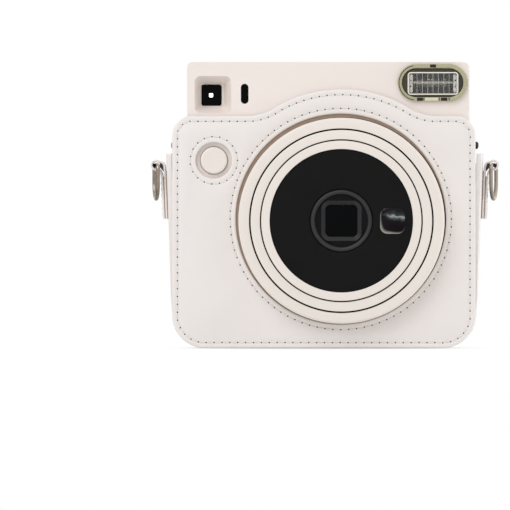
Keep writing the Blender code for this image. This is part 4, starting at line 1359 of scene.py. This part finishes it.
@dataclass
class LensBarrel:
    """The white dial, the two telescoping barrels and the black face with its optics and mirror."""

    seal_sink: float = 0.2
    seal_depth: float = 1.0
    face_gap: float = 0.06
    face_edge: float = 0.3
    face_bore: float = 0.2
    hidden_edge: float = 0.1
    bezel_inner: float = 11.6
    bezel_outer: float = 14.0
    bezel_flat: float = 0.02
    hood_wide: float = 8.9
    hood_tight: float = 7.1
    hood_corners: Point = (3.4, 2.2)
    hood_sink: float = 1.0
    hood_thick: float = 0.4
    hood_gap: float = 0.05
    frame_gap: float = 0.02
    window_thick: float = 0.5
    window_sink: float = 0.1
    window_edge: float = 0.1
    mirror_corner: float = 3.2
    mirror_edge: float = 0.05
    mirror_rise: float = 0.63
    mirror_curve: float = 2.4
    mirror_steps: int = 14
    sharp_deg: float = 30
    rings: ClassVar[tuple[BarrelRing, ...]] = (
        BarrelRing(Body.DIAL, nose=1.1, heel=0.3, wall=2.0, flange=4.75, lip=1.7, ease=0.0),
        BarrelRing(Body.MID, nose=0.18, heel=0.2, wall=1.9, flange=4.1, lip=1.6, ease=0.16),
        BarrelRing(Body.INNER, nose=0.18, heel=0.2, wall=2.0, flange=3.7, lip=1.6, ease=0.16))
    seals: ClassVar[dict[str, tuple[Body, float, float]]] = {
        "dial_light_seal": (Body.DIAL, 40.17, 40.82), "barrel_light_seal": (Body.MID, 35.47, 36.08)}

    def __post_init__(self) -> None:
        """Read the axis from the frame."""
        self.axis = Span.of("lens_dial").face

    def build(self) -> None:
        """Make every ring, the face, the optics and the mirror."""
        self._rings()
        self._face()
        self._hood()
        self._mirror()

    def _rings(self) -> None:
        """The dial, both barrels and the dark seal rings in the gaps between them, which close the gaps
        against light and are painted shade for them too.
        """
        for ring in self.rings:
            node = ring.body.value
            piece = Piece(f"{node}_ring", WHITE_RING, ring.body)
            piece.turn(self.axis, rounded(ring.corners(), steps=5)).done((node,), self.sharp_deg)
        # The seal rings are also painted shade: they darken the gaps into black lines.
        for name, (body, inner, outer) in self.seals.items():
            near = Span.of(body.value).low.y + self.seal_sink
            shade_ring = square_section(inner, outer, near, near + self.seal_depth)
            Piece(name, SEAL_AND_SHADE_FELT, body).turn(self.axis, shade_ring).done()

    def _face(self) -> None:
        """The black face and the rounded grey ring in its middle."""
        plate, bezel = Span.of("lens_plate"), Span.of("lens_bezel")
        outer, inner, hidden = self.bezel_outer, self.bezel_inner, self.hidden_edge
        hole = outer + self.face_gap
        disc = rounded([(plate.radius, plate.low.y, self.face_edge), (plate.radius, plate.high.y, hidden),
                        (hole, plate.high.y, hidden), (hole, plate.low.y, self.face_bore)], steps=4)
        face = Piece("lens_face", GLOSS_BLACK, Body.INNER).turn(self.axis, disc)
        face.done(("lens_plate",), self.sharp_deg)
        lip = (outer - inner) / 2 - self.bezel_flat
        hoop = rounded([(outer, bezel.low.y, lip), (outer, bezel.high.y, hidden),
                        (inner, bezel.high.y, hidden), (inner, bezel.low.y, lip)])
        ring = Piece("lens_bezel_ring", RING_GREY, Body.INNER).turn(self.axis, hoop)
        ring.done(("lens_bezel",), self.sharp_deg)

    def _hood(self) -> None:
        """The hood that tapers from the ring to a square, and the dark window at its end."""
        wide, tight = (Outline.block(self.axis, 2 * half, 2 * half, corner, steps=16)
                       for half, corner in zip((self.hood_wide, self.hood_tight), self.hood_corners))
        x, z = wide.points[0]
        first = degrees(atan2(z - self.axis[1], x - self.axis[0]))
        circle = arc(self.axis, self.bezel_inner - self.hood_gap, first, first + 360, len(wide.points))[:-1]
        front = Span.of("lens_bezel").low.y + self.hood_sink
        shelf = front + self.hood_thick
        window = Span.of("lens_window").low.y + self.hood_sink
        back = window + self.window_thick
        self._sleeve("lens_hood", HOOD_BLACK, [
            (circle, front), (wide.points, front), (wide.points, shelf), (circle, shelf)])
        rim = wide.inset(self.frame_gap).points
        self._sleeve("lens_hood_frame", HOOD_GREY, [
            (rim, front), (tight.points, window), (tight.points, back), (rim, back)])
        pane = soft_section(back, window + self.window_sink, self.window_edge, steps=2)
        glass = Piece("lens_window_glass", DARK_GLASS, Body.INNER)
        glass.slab(tight.inset(self.hood_gap), pane).done(("lens_window",))

    def _sleeve(self, name: str, finish: Finish, loops: list[tuple[list[Point], float]]) -> None:
        """A closed sleeve through loops of points, each at its depth."""
        sections = [Plane.XZ.at(points, depth) for points, depth in loops]
        Piece(name, finish, Body.INNER).skin(sections, closed=True).done()

    def _mirror(self) -> None:
        """The convex mirror for framing oneself, a rounded square that swells to its middle."""
        span = Span.of("selfie_mirror")
        x, z = span.face
        outline = Outline.block(span.face, span.size.x, span.size.z, self.mirror_corner, steps=12)
        sections = [Plane.XZ.at(outline.points, span.high.y)]
        for i in range(self.mirror_steps):
            share = 1 - i / self.mirror_steps
            rise = self.mirror_edge + self.mirror_rise * (1 - share ** self.mirror_curve)
            points = [(x + (a - x) * share, z + (b - z) * share) for a, b in outline.points]
            sections.append(Plane.XZ.at(points, span.high.y - rise))
        dome = Piece("selfie_mirror_dome", MIRROR, Body.INNER).skin(sections)
        dome.done(("selfie_mirror",), sharp_deg=60)


@dataclass(frozen=True)
class FlashClip:
    """A small moulding on the flash's rim, or a dark plate of painted shade in a slit, placed from the
    rim's middle.
    """

    name: str
    x: float
    z: float
    length: float
    finish: Finish = CLIP_BROWN_AND_SHADE


@dataclass
class TopStrip:
    """Finder, exposure sensor, flash and release on the front of the body."""

    mask_ease: float = 0.26
    mask_corner: float = 0.8
    mask_edge: float = 0.15
    mask_hole: float = 1.7
    mask_hole_corner: float = 0.25
    sensor_edge: float = 0.3
    plate_edge: float = 0.12
    rim_width: float = 1.9
    rim_edge: float = 0.45
    bed_gap: float = 0.05
    bed_height: float = 0.45
    frame_height: float = 0.5
    lens_width: float = 21.6
    lens_height: float = 9.2
    lens_offset: Point = (0.18, -0.3)
    lens_corner: float = 1.0
    lens_thick: float = 0.25
    lens_gap: float = 0.15
    frame_reach: float = 0.9
    frame_lap: float = 0.2
    frame_gap: float = 0.02
    frame_corner: float = 1.5
    groove: float = 0.45
    groove_width: float = 0.38
    groove_sweep: Point = (100, 262)
    groove_rise: float = 0.06
    trim_sink: float = 0.6
    clip_height: float = 1.4
    clip_corner: float = 0.25
    clip_rise: float = 0.08
    highlight_width: float = 0.08
    highlight_corner: float = 0.05
    highlight_rise: float = 0.02
    highlight_sink: float = 0.05
    rib_pitch: float = 2.3
    rib_width: float = 0.40
    rib_height: float = 0.16
    tube_end: float = 1.7
    tube_end_corner: float = 0.5
    tube_end_inset: float = 1.0
    tube_end_ease: float = 1.2
    tube_eye: float = 0.42
    tube_eye_rise: float = 1.3
    tube_depths: Triple = (0.2, 1.3, 2.2)
    tube_rise: float = 0.4
    tube_height: float = 1.0
    tube_corner: float = 0.4
    tube_ease: float = 3.9
    clips: ClassVar[tuple[FlashClip, ...]] = (
        FlashClip("flash_clip_top", 0.2, 7.4, 2.7), FlashClip("flash_clip_left", -5.6, -7.3, 2.7),
        FlashClip("flash_clip_right", 5.1, -7.3, 2.9), FlashClip("flash_bar", -0.45, -7.3, 5.9, CLEAR_BAR),
        # The three slits are dark plates of painted shade.
        FlashClip("flash_slit_shade_left", -3.85, -7.3, 0.45), FlashClip("flash_slit_shade_middle", 2.95, -7.3, 0.45),
        FlashClip("flash_slit_shade_right", 7.3, -7.2, 0.45))
    button_profile: ClassVar[Section] = [
        (0, 0.25), (2.0, 0.22), (4.0, 0.1), (5.0, 0), (5.5, 0.06), (5.85, 0.35), (6.0, 0.8), (6.0, 4.3),
        (7.6, 4.3), (7.6, 5.5), (2.0, 5.5)]

    def build(self) -> None:
        """Make the finder mask, the sensor, the flash and the release."""
        self._finder()
        self._sensor()
        self._flash()
        self._release()

    def _finder(self) -> None:
        """The black finder mask with the small bright opening in its middle."""
        span = Span.of("viewfinder_window")
        side = span.size.x + self.mask_ease
        outline = Outline.block(span.face, side, side, self.mask_corner, steps=8)
        hole = Outline.block(span.face, self.mask_hole, self.mask_hole, self.mask_hole_corner, steps=8)
        section = soft_section(span.high.y, span.low.y, self.mask_edge, steps=2)
        Piece("finder_mask", DARK_GLASS).slab(outline, section, (hole,)).done(("viewfinder_window",))

    def _sensor(self) -> None:
        """The dark oblong window of the exposure sensor."""
        span = Span.of("sensor_window")
        outline = Outline.block(span.face, span.size.x, span.size.z, span.radius - NEARLY, steps=14)
        section = soft_section(span.high.y, span.low.y, self.sensor_edge)
        Piece("sensor_lens", DARK_GLASS).slab(outline, section).done(("sensor_window",))

    def _flash(self) -> None:
        """The flash: olive rim, dark bed, silver frame, ribbed clear lens with painted highlights on its
        ribs, tube and clips, and painted shade in the rim's groove and slits.
        """
        span = Span.of("flash_window")
        x, z = span.face
        width, height = span.size.x, span.size.z
        back, front = span.high.y, span.low.y
        sunk = back - self.trim_sink
        outline = Outline.block(span.face, width, height, height / 2 - NEARLY, steps=30)
        section = soft_section(back, front, self.rim_edge)
        rim = Piece("flash_rim", CLEAR_RIM).slab(outline, section, (outline.inset(self.rim_width),))
        rim.done(("flash_window",))
        bow = (x - (width - height) / 2, z)
        near = height / 2 - self.groove
        first, last = self.groove_sweep
        groove = arc(bow, near, first, last, steps=40)
        groove += arc(bow, near - self.groove_width, last, first, steps=40)
        # A dark line of painted shade along the groove in the rim's round end.
        self._plate("flash_groove_shade", CLIP_BROWN_AND_SHADE, Outline(groove), sunk, front - self.groove_rise)
        middle = (x + self.lens_offset[0], z + self.lens_offset[1])
        step = back - self.bed_height
        bed = outline.inset(self.rim_width + self.bed_gap)
        self._plate("flash_bed", FLASH_BED, bed, back, step, (self._window(middle, 0.0, self.lens_corner),))
        frame_outline = self._window(middle, self.frame_reach, self.frame_corner)
        frame_hole = self._window(middle, -self.frame_lap, self.lens_corner)
        base, face = step - self.frame_gap, step - self.frame_height
        self._plate("flash_frame", FRAME_SILVER, frame_outline, base, face, (frame_hole,))
        self._ribbed_lens(middle, step)
        for clip in self.clips:
            place = (x + clip.x, z + clip.z)
            block = Outline.block(place, clip.length, self.clip_height, self.clip_corner, steps=4)
            self._plate(clip.name, clip.finish, block, sunk, front - self.clip_rise)
        self._tube(middle, back)

    def _window(self, middle: Point, more: float, corner: float) -> Outline:
        """The lens's outline, made larger or smaller."""
        return Outline.block(middle, self.lens_width + more, self.lens_height + more, corner)

    def _plate(self, name: str, finish: Finish, outline: Outline, back: float, front: float,
               holes: tuple[Outline, ...] = ()) -> None:
        """A small moulding with round edges."""
        Piece(name, finish).slab(outline, soft_section(back, front, self.plate_edge, steps=2), holes).done()

    def _ribbed_lens(self, middle: Point, back: float) -> None:
        """The clear lens, a sheet with upright ribs on its front and a thin white strip on each as a
        painted highlight.

        Args:
            middle: the lens's middle.
            back: the depth of its flat side.
        """
        x, z = middle
        half_x, half_z = self.lens_width / 2 - self.lens_gap, self.lens_height / 2 - self.lens_gap
        front = back - self.lens_thick
        ridge = front - self.rib_height
        count = round(2 * half_x / self.rib_pitch)
        section = [(x - half_x, front)]
        # Painted highlights: a thin white strip on each rib's crest.
        painted_highlights = Piece("flash_rib_highlights", END_WHITE_AND_HIGHLIGHT)
        for i in range(count):
            crest = x - half_x + (i + 0.5) * 2 * half_x / count
            line = Outline.block((crest, z), self.highlight_width, 2 * half_z, self.highlight_corner, steps=3)
            painted_highlights.slab(line, [(0.0, ridge + self.highlight_sink), (0.0, ridge - self.highlight_rise)])
            foot = self.rib_width / 2
            section += [(crest - foot, front), (crest, ridge), (crest + foot, front)]
        section += [(x + half_x, front), (x + half_x, back), (x - half_x, back)]
        ends = [[Vector((a, b, z + rise)) for a, b in section] for rise in (-half_z, half_z)]
        Piece("flash_lens", CLEAR).skin(ends).done(sharp_deg=10)
        painted_highlights.done()

    def _tube(self, middle: Point, back: float) -> None:
        """The flash tube behind the lens and the white block with two eyes at each of its ends.

        Args:
            middle: the lens's middle.
            back: the depth of the rim's back.
        """
        x, z = middle
        end_front, tube_front, rear = (back + depth for depth in self.tube_depths)
        for side in Side:
            end_x = x + side.value * (self.lens_width / 2 - self.tube_end_inset)
            tall = self.lens_height - self.tube_end_ease
            block = Outline.block((end_x, z), self.tube_end, tall, self.tube_end_corner, steps=6)
            eyes = tuple(Outline.circle((end_x, z + rise), self.tube_eye, steps=16)
                         for rise in (-self.tube_eye_rise, self.tube_eye_rise))
            self._plate(f"flash_tube_end_{side.name.lower()}", END_WHITE_AND_HIGHLIGHT, block, rear, end_front, eyes)
        length = self.lens_width - self.tube_ease
        tube = Outline.block((x, z + self.tube_rise), length, self.tube_height, self.tube_corner, steps=6)
        self._plate("flash_tube_band", TUBE_GLASS, tube, rear, tube_front)

    def _release(self) -> None:
        """The shutter button, a domed cap with a fine rim on a stem."""
        span = Span.of("shutter_button")
        stem = self.button_profile[-1][0]
        profile = [(radius, span.low.y + depth) for radius, depth in self.button_profile]
        profile += [(stem, span.high.y), (0, span.high.y)]
        cap = Piece("shutter_button_cap", WHITE_RING, Body.BUTTON).turn_solid(span.face, profile, steps=72)
        cap.done(("shutter_button",))


@dataclass
class StrapFittings:
    """A folded leather tab with a seam, and the metal ring that hangs in its loop."""

    side: Side
    wire: float = 0.88
    wire_sides: int = 16
    bar_drop: float = 1.0
    half: float = 7.6
    drop: float = 15.0
    bend: float = 2.0
    twist: float = 8.0
    leather: float = 0.95
    leather_edge: float = 0.28
    half_width: float = 5.2
    loop: float = 1.95
    loop_sweep: Point = (125, -80)
    knob_radius: float = 1.65
    seam: Seam = Seam(pitch=2.8, length=2.0, thickness=0.2, hole=0.32)
    row_half: float = 3.7
    row_start: float = 59.0
    row_count: int = 6
    foot_height: float = 58.2
    foot_start: float = -2.2
    foot_count: int = 3
    inner_layer: ClassVar[Section] = [
        (70.2, 57.0), (70.4, 62.0), (70.65, 68.0), (70.85, 74.0), (71.05, 79.0), (71.5, 82.0)]
    outer_layer: ClassVar[Section] = [
        (74.0, 79.0), (72.9, 78.4), (72.35, 76.4), (72.05, 72.0), (71.75, 66.0), (71.4, 57.2)]
    # The loop's closed inside, coloured dark as its painted shade.
    shaded_loop_core: ClassVar[Section] = [
        (71.6, 78.2), (71.8, 80.2), (72.4, 82.2), (73.2, 82.3), (73.3, 80.2), (72.6, 79.3)]
    # Thin strips of painted shade in the gaps: between the gusset and the inner layer, and between the two
    # layers.
    inner_edge: ClassVar[Section] = [
        (69.2, 57.4), (69.76, 57.4), (70.2, 68.0), (70.58, 78.5), (70.0, 78.5), (69.6, 68.0)]
    layer_gap_shade: ClassVar[Section] = [
        (70.65, 57.4), (70.97, 57.4), (71.3, 66.0), (71.6, 72.0), (71.85, 76.0), (71.4, 76.0),
        (71.22, 72.0), (71.02, 66.0)]
    knob_head: ClassVar[Section] = [
        (0.4, 1.6), (0.0, 1.4), (0.0, 0.9), (0.15, 0.45), (0.5, 0.15), (1.0, 0.03)]

    def __post_init__(self) -> None:
        """Read the ring's place from the frame."""
        self.name = self.side.name.lower()
        self.sign = self.side.value
        ring = Span.of(f"strap_ring_{self.name}")
        self.pivot = (abs(ring.middle.x), ring.high.z - self.bar_drop)

    def build(self) -> None:
        """Make the tab with its seam, the ring and the lug."""
        self._tab()
        self._seam()
        self._ring()
        self._lug()

    def _tab(self) -> None:
        """The tab: a strip that runs up the gusset, over the ring's bar and down again."""
        bend = arc(self.pivot, self.loop, *self.loop_sweep, steps=18)
        path = smooth(self.inner_layer + bend + self.outer_layer, rounds=2)
        edge, half, thick = self.leather_edge, self.half_width, self.leather / 2
        flat, wall = half - edge, thick - edge
        section = [(-flat, -thick), (flat, -thick), (half, -wall), (half, wall),
                   (flat, thick), (-flat, thick), (-half, wall), (-half, -wall)]
        strip = [[Vector((self.sign * (u - dz * rise), y, z + du * rise)) for y, rise in section]
                 for (u, z), (du, dz) in zip(path, directions(path))]
        tab = f"strap_tab_{self.name}"
        Piece(f"{tab}_leather", LEATHER).skin(strip).done((tab,), sharp_deg=50)
        # Painted shade: a dark block that closes the loop, and dark strips in the gaps beside the layers.
        self._bars(f"{tab}_lining", HOLLOW_SHADE, [self.shaded_loop_core], flat)
        self._bars(f"{tab}_raw_edges", RAW_EDGE_AND_SHADE, [self.inner_edge, self.layer_gap_shade], half - edge / 2)

    def _bars(self, name: str, finish: Finish, sections: list[Section], half: float) -> None:
        """Bars of some sections in X and Z, as wide as the tab.

        Args:
            name: the piece's name.
            finish: its finish.
            sections: the bars' outlines, on the right-hand side.
            half: half of their width.
        """
        piece = Piece(name, finish)
        for section in sections:
            piece.skin([[Vector((self.sign * u, y, z)) for u, z in section] for y in (-half, half)])
        piece.done()

    def _seam(self) -> None:
        """A row of stitches up each side of the tab and one across its foot."""
        pitch = self.seam.pitch
        heights = [self.row_start + i * pitch for i in range(self.row_count)]
        rows = [[self._stitch(z, y) for z in heights] for y in (-self.row_half, self.row_half)]
        places = [self.foot_start + i * pitch for i in range(self.foot_count)]
        rows.append([self._stitch(self.foot_height, y, across=True) for y in places])
        self.seam.sew(f"strap_tab_{self.name}_seam", rows)

    def _stitch(self, z: float, y: float, across: bool = False) -> Stitch:
        """A stitch's place, direction and normal on the tab's outer face.

        Args:
            z: its height.
            y: its place across the tab.
            across: it runs across the tab, not up.

        Returns:
            The stitch.
        """
        for (u, high), (v, low) in zip(self.outer_layer, self.outer_layer[1:]):
            if low <= z <= high:
                lean = (u - v) / (high - low)
                face = v + lean * (z - low) + self.leather / 2 * sqrt(1 + lean * lean)
                along = Vector((0, 1, 0)) if across else Vector((self.sign * lean, 0, 1)).normalized()
                return Vector((self.sign * face, y, z)), along, Vector((self.sign, 0, -lean)).normalized()
        raise ValueError(f"no leather at height {z}")

    def _ring(self) -> None:
        """The ring: round wire bent to a D, which hangs a little turned."""
        x, pivot_z = self.sign * self.pivot[0], self.pivot[1]
        shoulder = self.half - self.bend
        path = [(0.0, 0.0)] + arc((shoulder, -self.bend), self.bend, 90, 0, steps=8)
        path += arc((0, self.half - self.drop), self.half, 0, -180, steps=36)
        path += arc((-shoulder, -self.bend), self.bend, 180, 90, steps=8)
        turn = -self.sign * radians(self.twist)
        c, s = cos(turn), sin(turn)
        girth = Outline.circle((0.0, 0.0), self.wire, self.wire_sides).points
        sections = []
        for (y, z), (dy, dz) in zip(path, directions(path, closed=True)):
            spots = [(across, y + dz * out, pivot_z + z - dy * out) for out, across in girth]
            sections.append([Vector((x + a * c - b * s, a * s + b * c, height)) for a, b, height in spots])
        wire = Piece(f"strap_ring_{self.name}_wire", PLATED, Body[f"RING_{self.side.name}"])
        wire.skin(sections, closed=True).done((f"strap_ring_{self.name}",), sharp_deg=60)

    def _lug(self) -> None:
        """The black lug behind the panel's edge, a knob with a round head."""
        lug = f"strap_lug_{self.name}"
        span = Span.of(lug)
        root, tip = sorted((span.low.x, span.high.x), key=abs)
        head = [(self.knob_radius - inset, tip - self.sign * sink) for inset, sink in self.knob_head]
        profile = [(0, root), (head[0][0], root)] + head + [(0, tip)]
        axis = (span.middle.y, span.middle.z)
        Piece(f"{lug}_knob", BLACK_MATT).turn_solid(axis, profile, 40, Plane.YZ).done((lug,))


def paint(node: str, finish: Finish) -> None:
    """Give a carried-over node its finish.

    Args:
        node: the node's name.
        finish: the finish.
    """
    mesh = NODES[node].data
    mesh.materials.clear()
    mesh.materials.append(material_of(finish))


@dataclass
class CarriedNodes:
    """Finishes of the nodes that stay as they are."""

    weld: float = 1e-6
    flat_deg: float = 1.0
    sharp_deg: float = 35.0
    segments: int = 3
    softened: ClassVar[dict[str, float]] = {
        "front_cover": 0.8, "rear_cover": 0.8, "film_door": 0.6, "battery_door": 0.3, "door_latch": 0.4,
        "film_flap": 0.2}
    finishes: ClassVar[dict[Finish, tuple[str, ...]]] = {
        WHITE_SHELL: ("front_cover", "rear_cover", "film_door", "battery_door"),
        WHITE_RING: ("counter_dial",),
        BLACK_MATT: (
            "lens_mount", "lens_holder", "shutter_plate", "shutter_blade_left", "shutter_blade_right",
            "viewfinder_tunnel", "flash_capacitor", "release_switch", "film_chamber", "film_pack",
            "light_cone", "film_flap", "battery_holder"),
        GREY_MATT: ("door_latch", "idler_gear"),
        RUBBER: ("drive_roller", "pinch_roller"),
        PLATED: ("door_hinge_pin", "press_stud_left", "press_stud_right", "motor_pinion", "drive_motor",
                 "roller_frame"),
        BOARD: ("circuit_board",),
        CELL_WRAP: ("battery_cell_lower", "battery_cell_upper"),
        REFLECTOR: ("flash_reflector",),
        TUBE_GLASS: ("flash_tube",),
        CLEAR: ("counter_window", "front_lens", "rear_lens"),
        DARK_GLASS: ("film_window",),
        FINDER_GLASS: ("eyepiece_lens",)}

    def build(self) -> None:
        """Paint the nodes and round their edges."""
        for finish, nodes in self.finishes.items():
            for node in nodes:
                paint(node, finish)
            LOG.info("%s on %s", finish.name, ", ".join(nodes))
        for node, width in self.softened.items():
            self._soften(NODES[node], width)

    def _soften(self, target: bpy.types.Object, width: float) -> None:
        """Round a node's sharp edges.

        Args:
            target: the node's object.
            width: the width of the rounding, in millimetres.
        """
        weld = target.modifiers.new("weld", "WELD")
        weld.merge_threshold = self.weld
        flat = target.modifiers.new("flat_faces", "DECIMATE")
        flat.decimate_type = "DISSOLVE"
        flat.angle_limit = radians(self.flat_deg)
        edge = target.modifiers.new("soft_edge", "BEVEL")
        edge.width = width * MM
        edge.segments = self.segments
        edge.limit_method = "ANGLE"
        edge.angle_limit = radians(self.sharp_deg)
        edge.harden_normals = True


@dataclass
class BackFittings:
    """Small things on the back: the latch's grip, the counter's marks and the door's dark inside."""

    rib_count: int = 5
    rib_pitch: float = 1.6
    rib_size: Point = (3.4, 0.7)
    rib_corner: float = 0.3
    rib_height: float = 0.35
    rib_edge: float = 0.15
    mark_count: int = 10
    mark_reach: Point = (2.0, 4.2)
    mark_half: float = 0.28
    mark_height: float = 0.1
    inward: float = -0.5

    def build(self) -> None:
        """Make the ribs and the marks, and darken the door's inside."""
        self._ribs()
        self._marks()
        self._door_inside()

    def _ribs(self) -> None:
        """Ribs across the latch's knob for the thumb."""
        knob = Span.of("door_latch")
        x, middle = knob.face
        section = soft_section(knob.high.y, knob.high.y + self.rib_height, self.rib_edge, steps=2)
        ribs = Piece("door_latch_ribs", GREY_MATT, Body.LATCH)
        for i in range(self.rib_count):
            z = middle + (i - (self.rib_count - 1) / 2) * self.rib_pitch
            ribs.slab(Outline.block((x, z), *self.rib_size, self.rib_corner, steps=4), section)
        ribs.done()

    def _marks(self) -> None:
        """A mark for each exposure, round the counter's disc."""
        dial = Span.of("counter_dial")
        x, z = dial.face
        near, far = self.mark_reach
        half = self.mark_half
        corners = [(near, -half), (far, -half), (far, half), (near, half)]
        section = [(0.0, dial.high.y), (0.0, dial.high.y + self.mark_height)]
        marks = Piece("counter_dial_marks", BLACK_MATT, Body.COUNTER)
        for i in range(self.mark_count):
            turn = 2 * pi * i / self.mark_count
            marks.slab(Outline([(x + a * cos(turn) - b * sin(turn), z + a * sin(turn) + b * cos(turn))
                                for a, b in corners]), section)
        marks.done()

    def _door_inside(self) -> None:
        """The film door's inside is black, so that no light strays in the film box."""
        mesh = NODES["film_door"].data
        mesh.materials.append(material_of(BLACK_MATT))
        for face in mesh.polygons:
            if face.normal.y < self.inward:
                face.material_index = 1


@dataclass(frozen=True)
class Lamp:
    """A square soft light that points at the object, with or without a reflection of its own."""

    name: str
    place: Triple
    size: float
    power: float
    glossy: bool = False
    aim: ClassVar[Triple] = (0, 0, 0.06)

    def hang(self) -> None:
        """Put the light in the scene."""
        data = bpy.data.lights.new(self.name, "AREA")
        data.size = self.size
        data.energy = self.power
        lamp = linked(self.name, data)
        lamp.visible_glossy = self.glossy
        point(lamp, Vector(self.place), Vector(self.aim) - Vector(self.place))


def point(target: bpy.types.Object, place: Vector, way: Vector) -> None:
    """Put a camera or a light somewhere, looking in a direction.

    Args:
        target: the camera or light.
        place: where it goes, in metres.
        way: the direction that it looks in.
    """
    target.location = place
    target.rotation_mode = "QUATERNION"
    target.rotation_quaternion = way.to_track_quat("-Z", "Y")


@dataclass
class Studio:
    """Camera, soft light, white floor and white surroundings, in metres where no unit is named."""

    frame_mm: float = 225.9
    middle_px: Point = (255.0, 255.0)
    origin_px: Point = (323.75, 348.0)
    mm_per_px: float = 0.443
    distance: float = 7.0
    far_clip: float = 50.0
    azimuth: float = 1.4
    elevation: float = 0.3
    sensor_mm: float = 36.0
    world_light: Colour = (0.58, 0.58, 0.58)
    shadow: Point = (0.028, 0.084)
    shadow_white: float = 0.3
    floor_half: float = 8.0
    floor_drop: float = 0.0002
    floor_patch_mm: float = 900.0
    floor_dark: Colour = (0.92, 0.92, 0.92)
    floor_light: Colour = (0.95, 0.95, 0.95)
    floor_roughness: float = 0.9
    lamps: ClassVar[tuple[Lamp, ...]] = (
        Lamp("key_light", (-0.7, -1.1, 1.2), size=1.3, power=12.7, glossy=True),
        Lamp("side_light", (1.4, 0.0, 0.3), size=0.7, power=8.0),
        Lamp("back_light", (-0.3, 1.6, 0.5), size=0.9, power=7.0))

    def build(self) -> None:
        """Set the camera, the surroundings, the lamps and the floor."""
        bpy.context.scene.view_settings.view_transform = "Standard"
        self._camera()
        self._world()
        for lamp in self.lamps:
            lamp.hang()
        self._floor()

    def _camera(self) -> None:
        """A long lens at the photograph's angle, framed as the photograph is."""
        x = (self.middle_px[0] - self.origin_px[0]) * self.mm_per_px
        z = (self.origin_px[1] - self.middle_px[1]) * self.mm_per_px
        target = Vector((x, Span.of("case_front_panel").low.y, z)) * MM
        turn, lift = radians(self.azimuth), radians(self.elevation)
        back = Vector((sin(turn) * cos(lift), -cos(turn) * cos(lift), sin(lift)))
        data = bpy.data.cameras.new("photo_camera")
        data.sensor_width = self.sensor_mm
        data.lens = self.sensor_mm * self.distance / (self.frame_mm * MM)
        data.clip_end = self.far_clip
        camera = linked("photo_camera", data)
        point(camera, target + back * self.distance, -back)
        bpy.context.scene.camera = camera

    def _world(self) -> None:
        """White where it is seen, and a soft pale dome as a light."""
        sheet = Sheet(bpy.data.worlds.new("studio_world"))
        colour = sheet.mix(sheet.background_seen(), self.world_light, WHITE)
        sheet.close(sheet.node("ShaderNodeBackground", {}, {"Color": colour}), "ShaderNodeOutputWorld")
        bpy.context.scene.world = sheet.owner

    def _floor(self) -> None:
        """A plain pale floor that keeps the object's shadow and runs out to white."""
        sheet = Sheet.of("studio_floor")
        away = sheet.node("ShaderNodeVectorMath", {"operation": "LENGTH"}, {0: sheet.place()}, "Value")
        fade = sheet.ease(away, *self.shadow, self.shadow_white)
        matt = sheet.node("ShaderNodeBsdfPrincipled", {}, {
            "Base Color": sheet.mix(sheet.noise(self.floor_patch_mm), self.floor_dark, self.floor_light),
            "Roughness": self.floor_roughness, "Specular IOR Level": 0.0})
        white = sheet.node("ShaderNodeEmission", {}, {"Color": WHITE})
        seen = fade * sheet.background_seen()
        sheet.close(sheet.node("ShaderNodeMixShader", {}, {0: seen, 1: matt, 2: white}))
        work = bmesh.new()
        bmesh.ops.create_grid(work, x_segments=1, y_segments=1, size=self.floor_half)
        mesh = mesh_of("floor", work)
        mesh.materials.append(sheet.owner)
        floor = linked("floor", mesh)
        floor.location.z = CAD_BOX[0].z - self.floor_drop


def main() -> None:
    """Build the stage and every sub-assembly in order."""
    logging.basicConfig(level=logging.INFO)
    assemblies = [Studio(), CarriedNodes(), HalfCase(), LensBarrel(), TopStrip(), BackFittings(),
                  StrapFittings(Side.LEFT), StrapFittings(Side.RIGHT)]
    for assembly in assemblies:
        assembly.build()
        LOG.info("%s done", type(assembly).__name__)


if __name__ == "__main__":
    main()
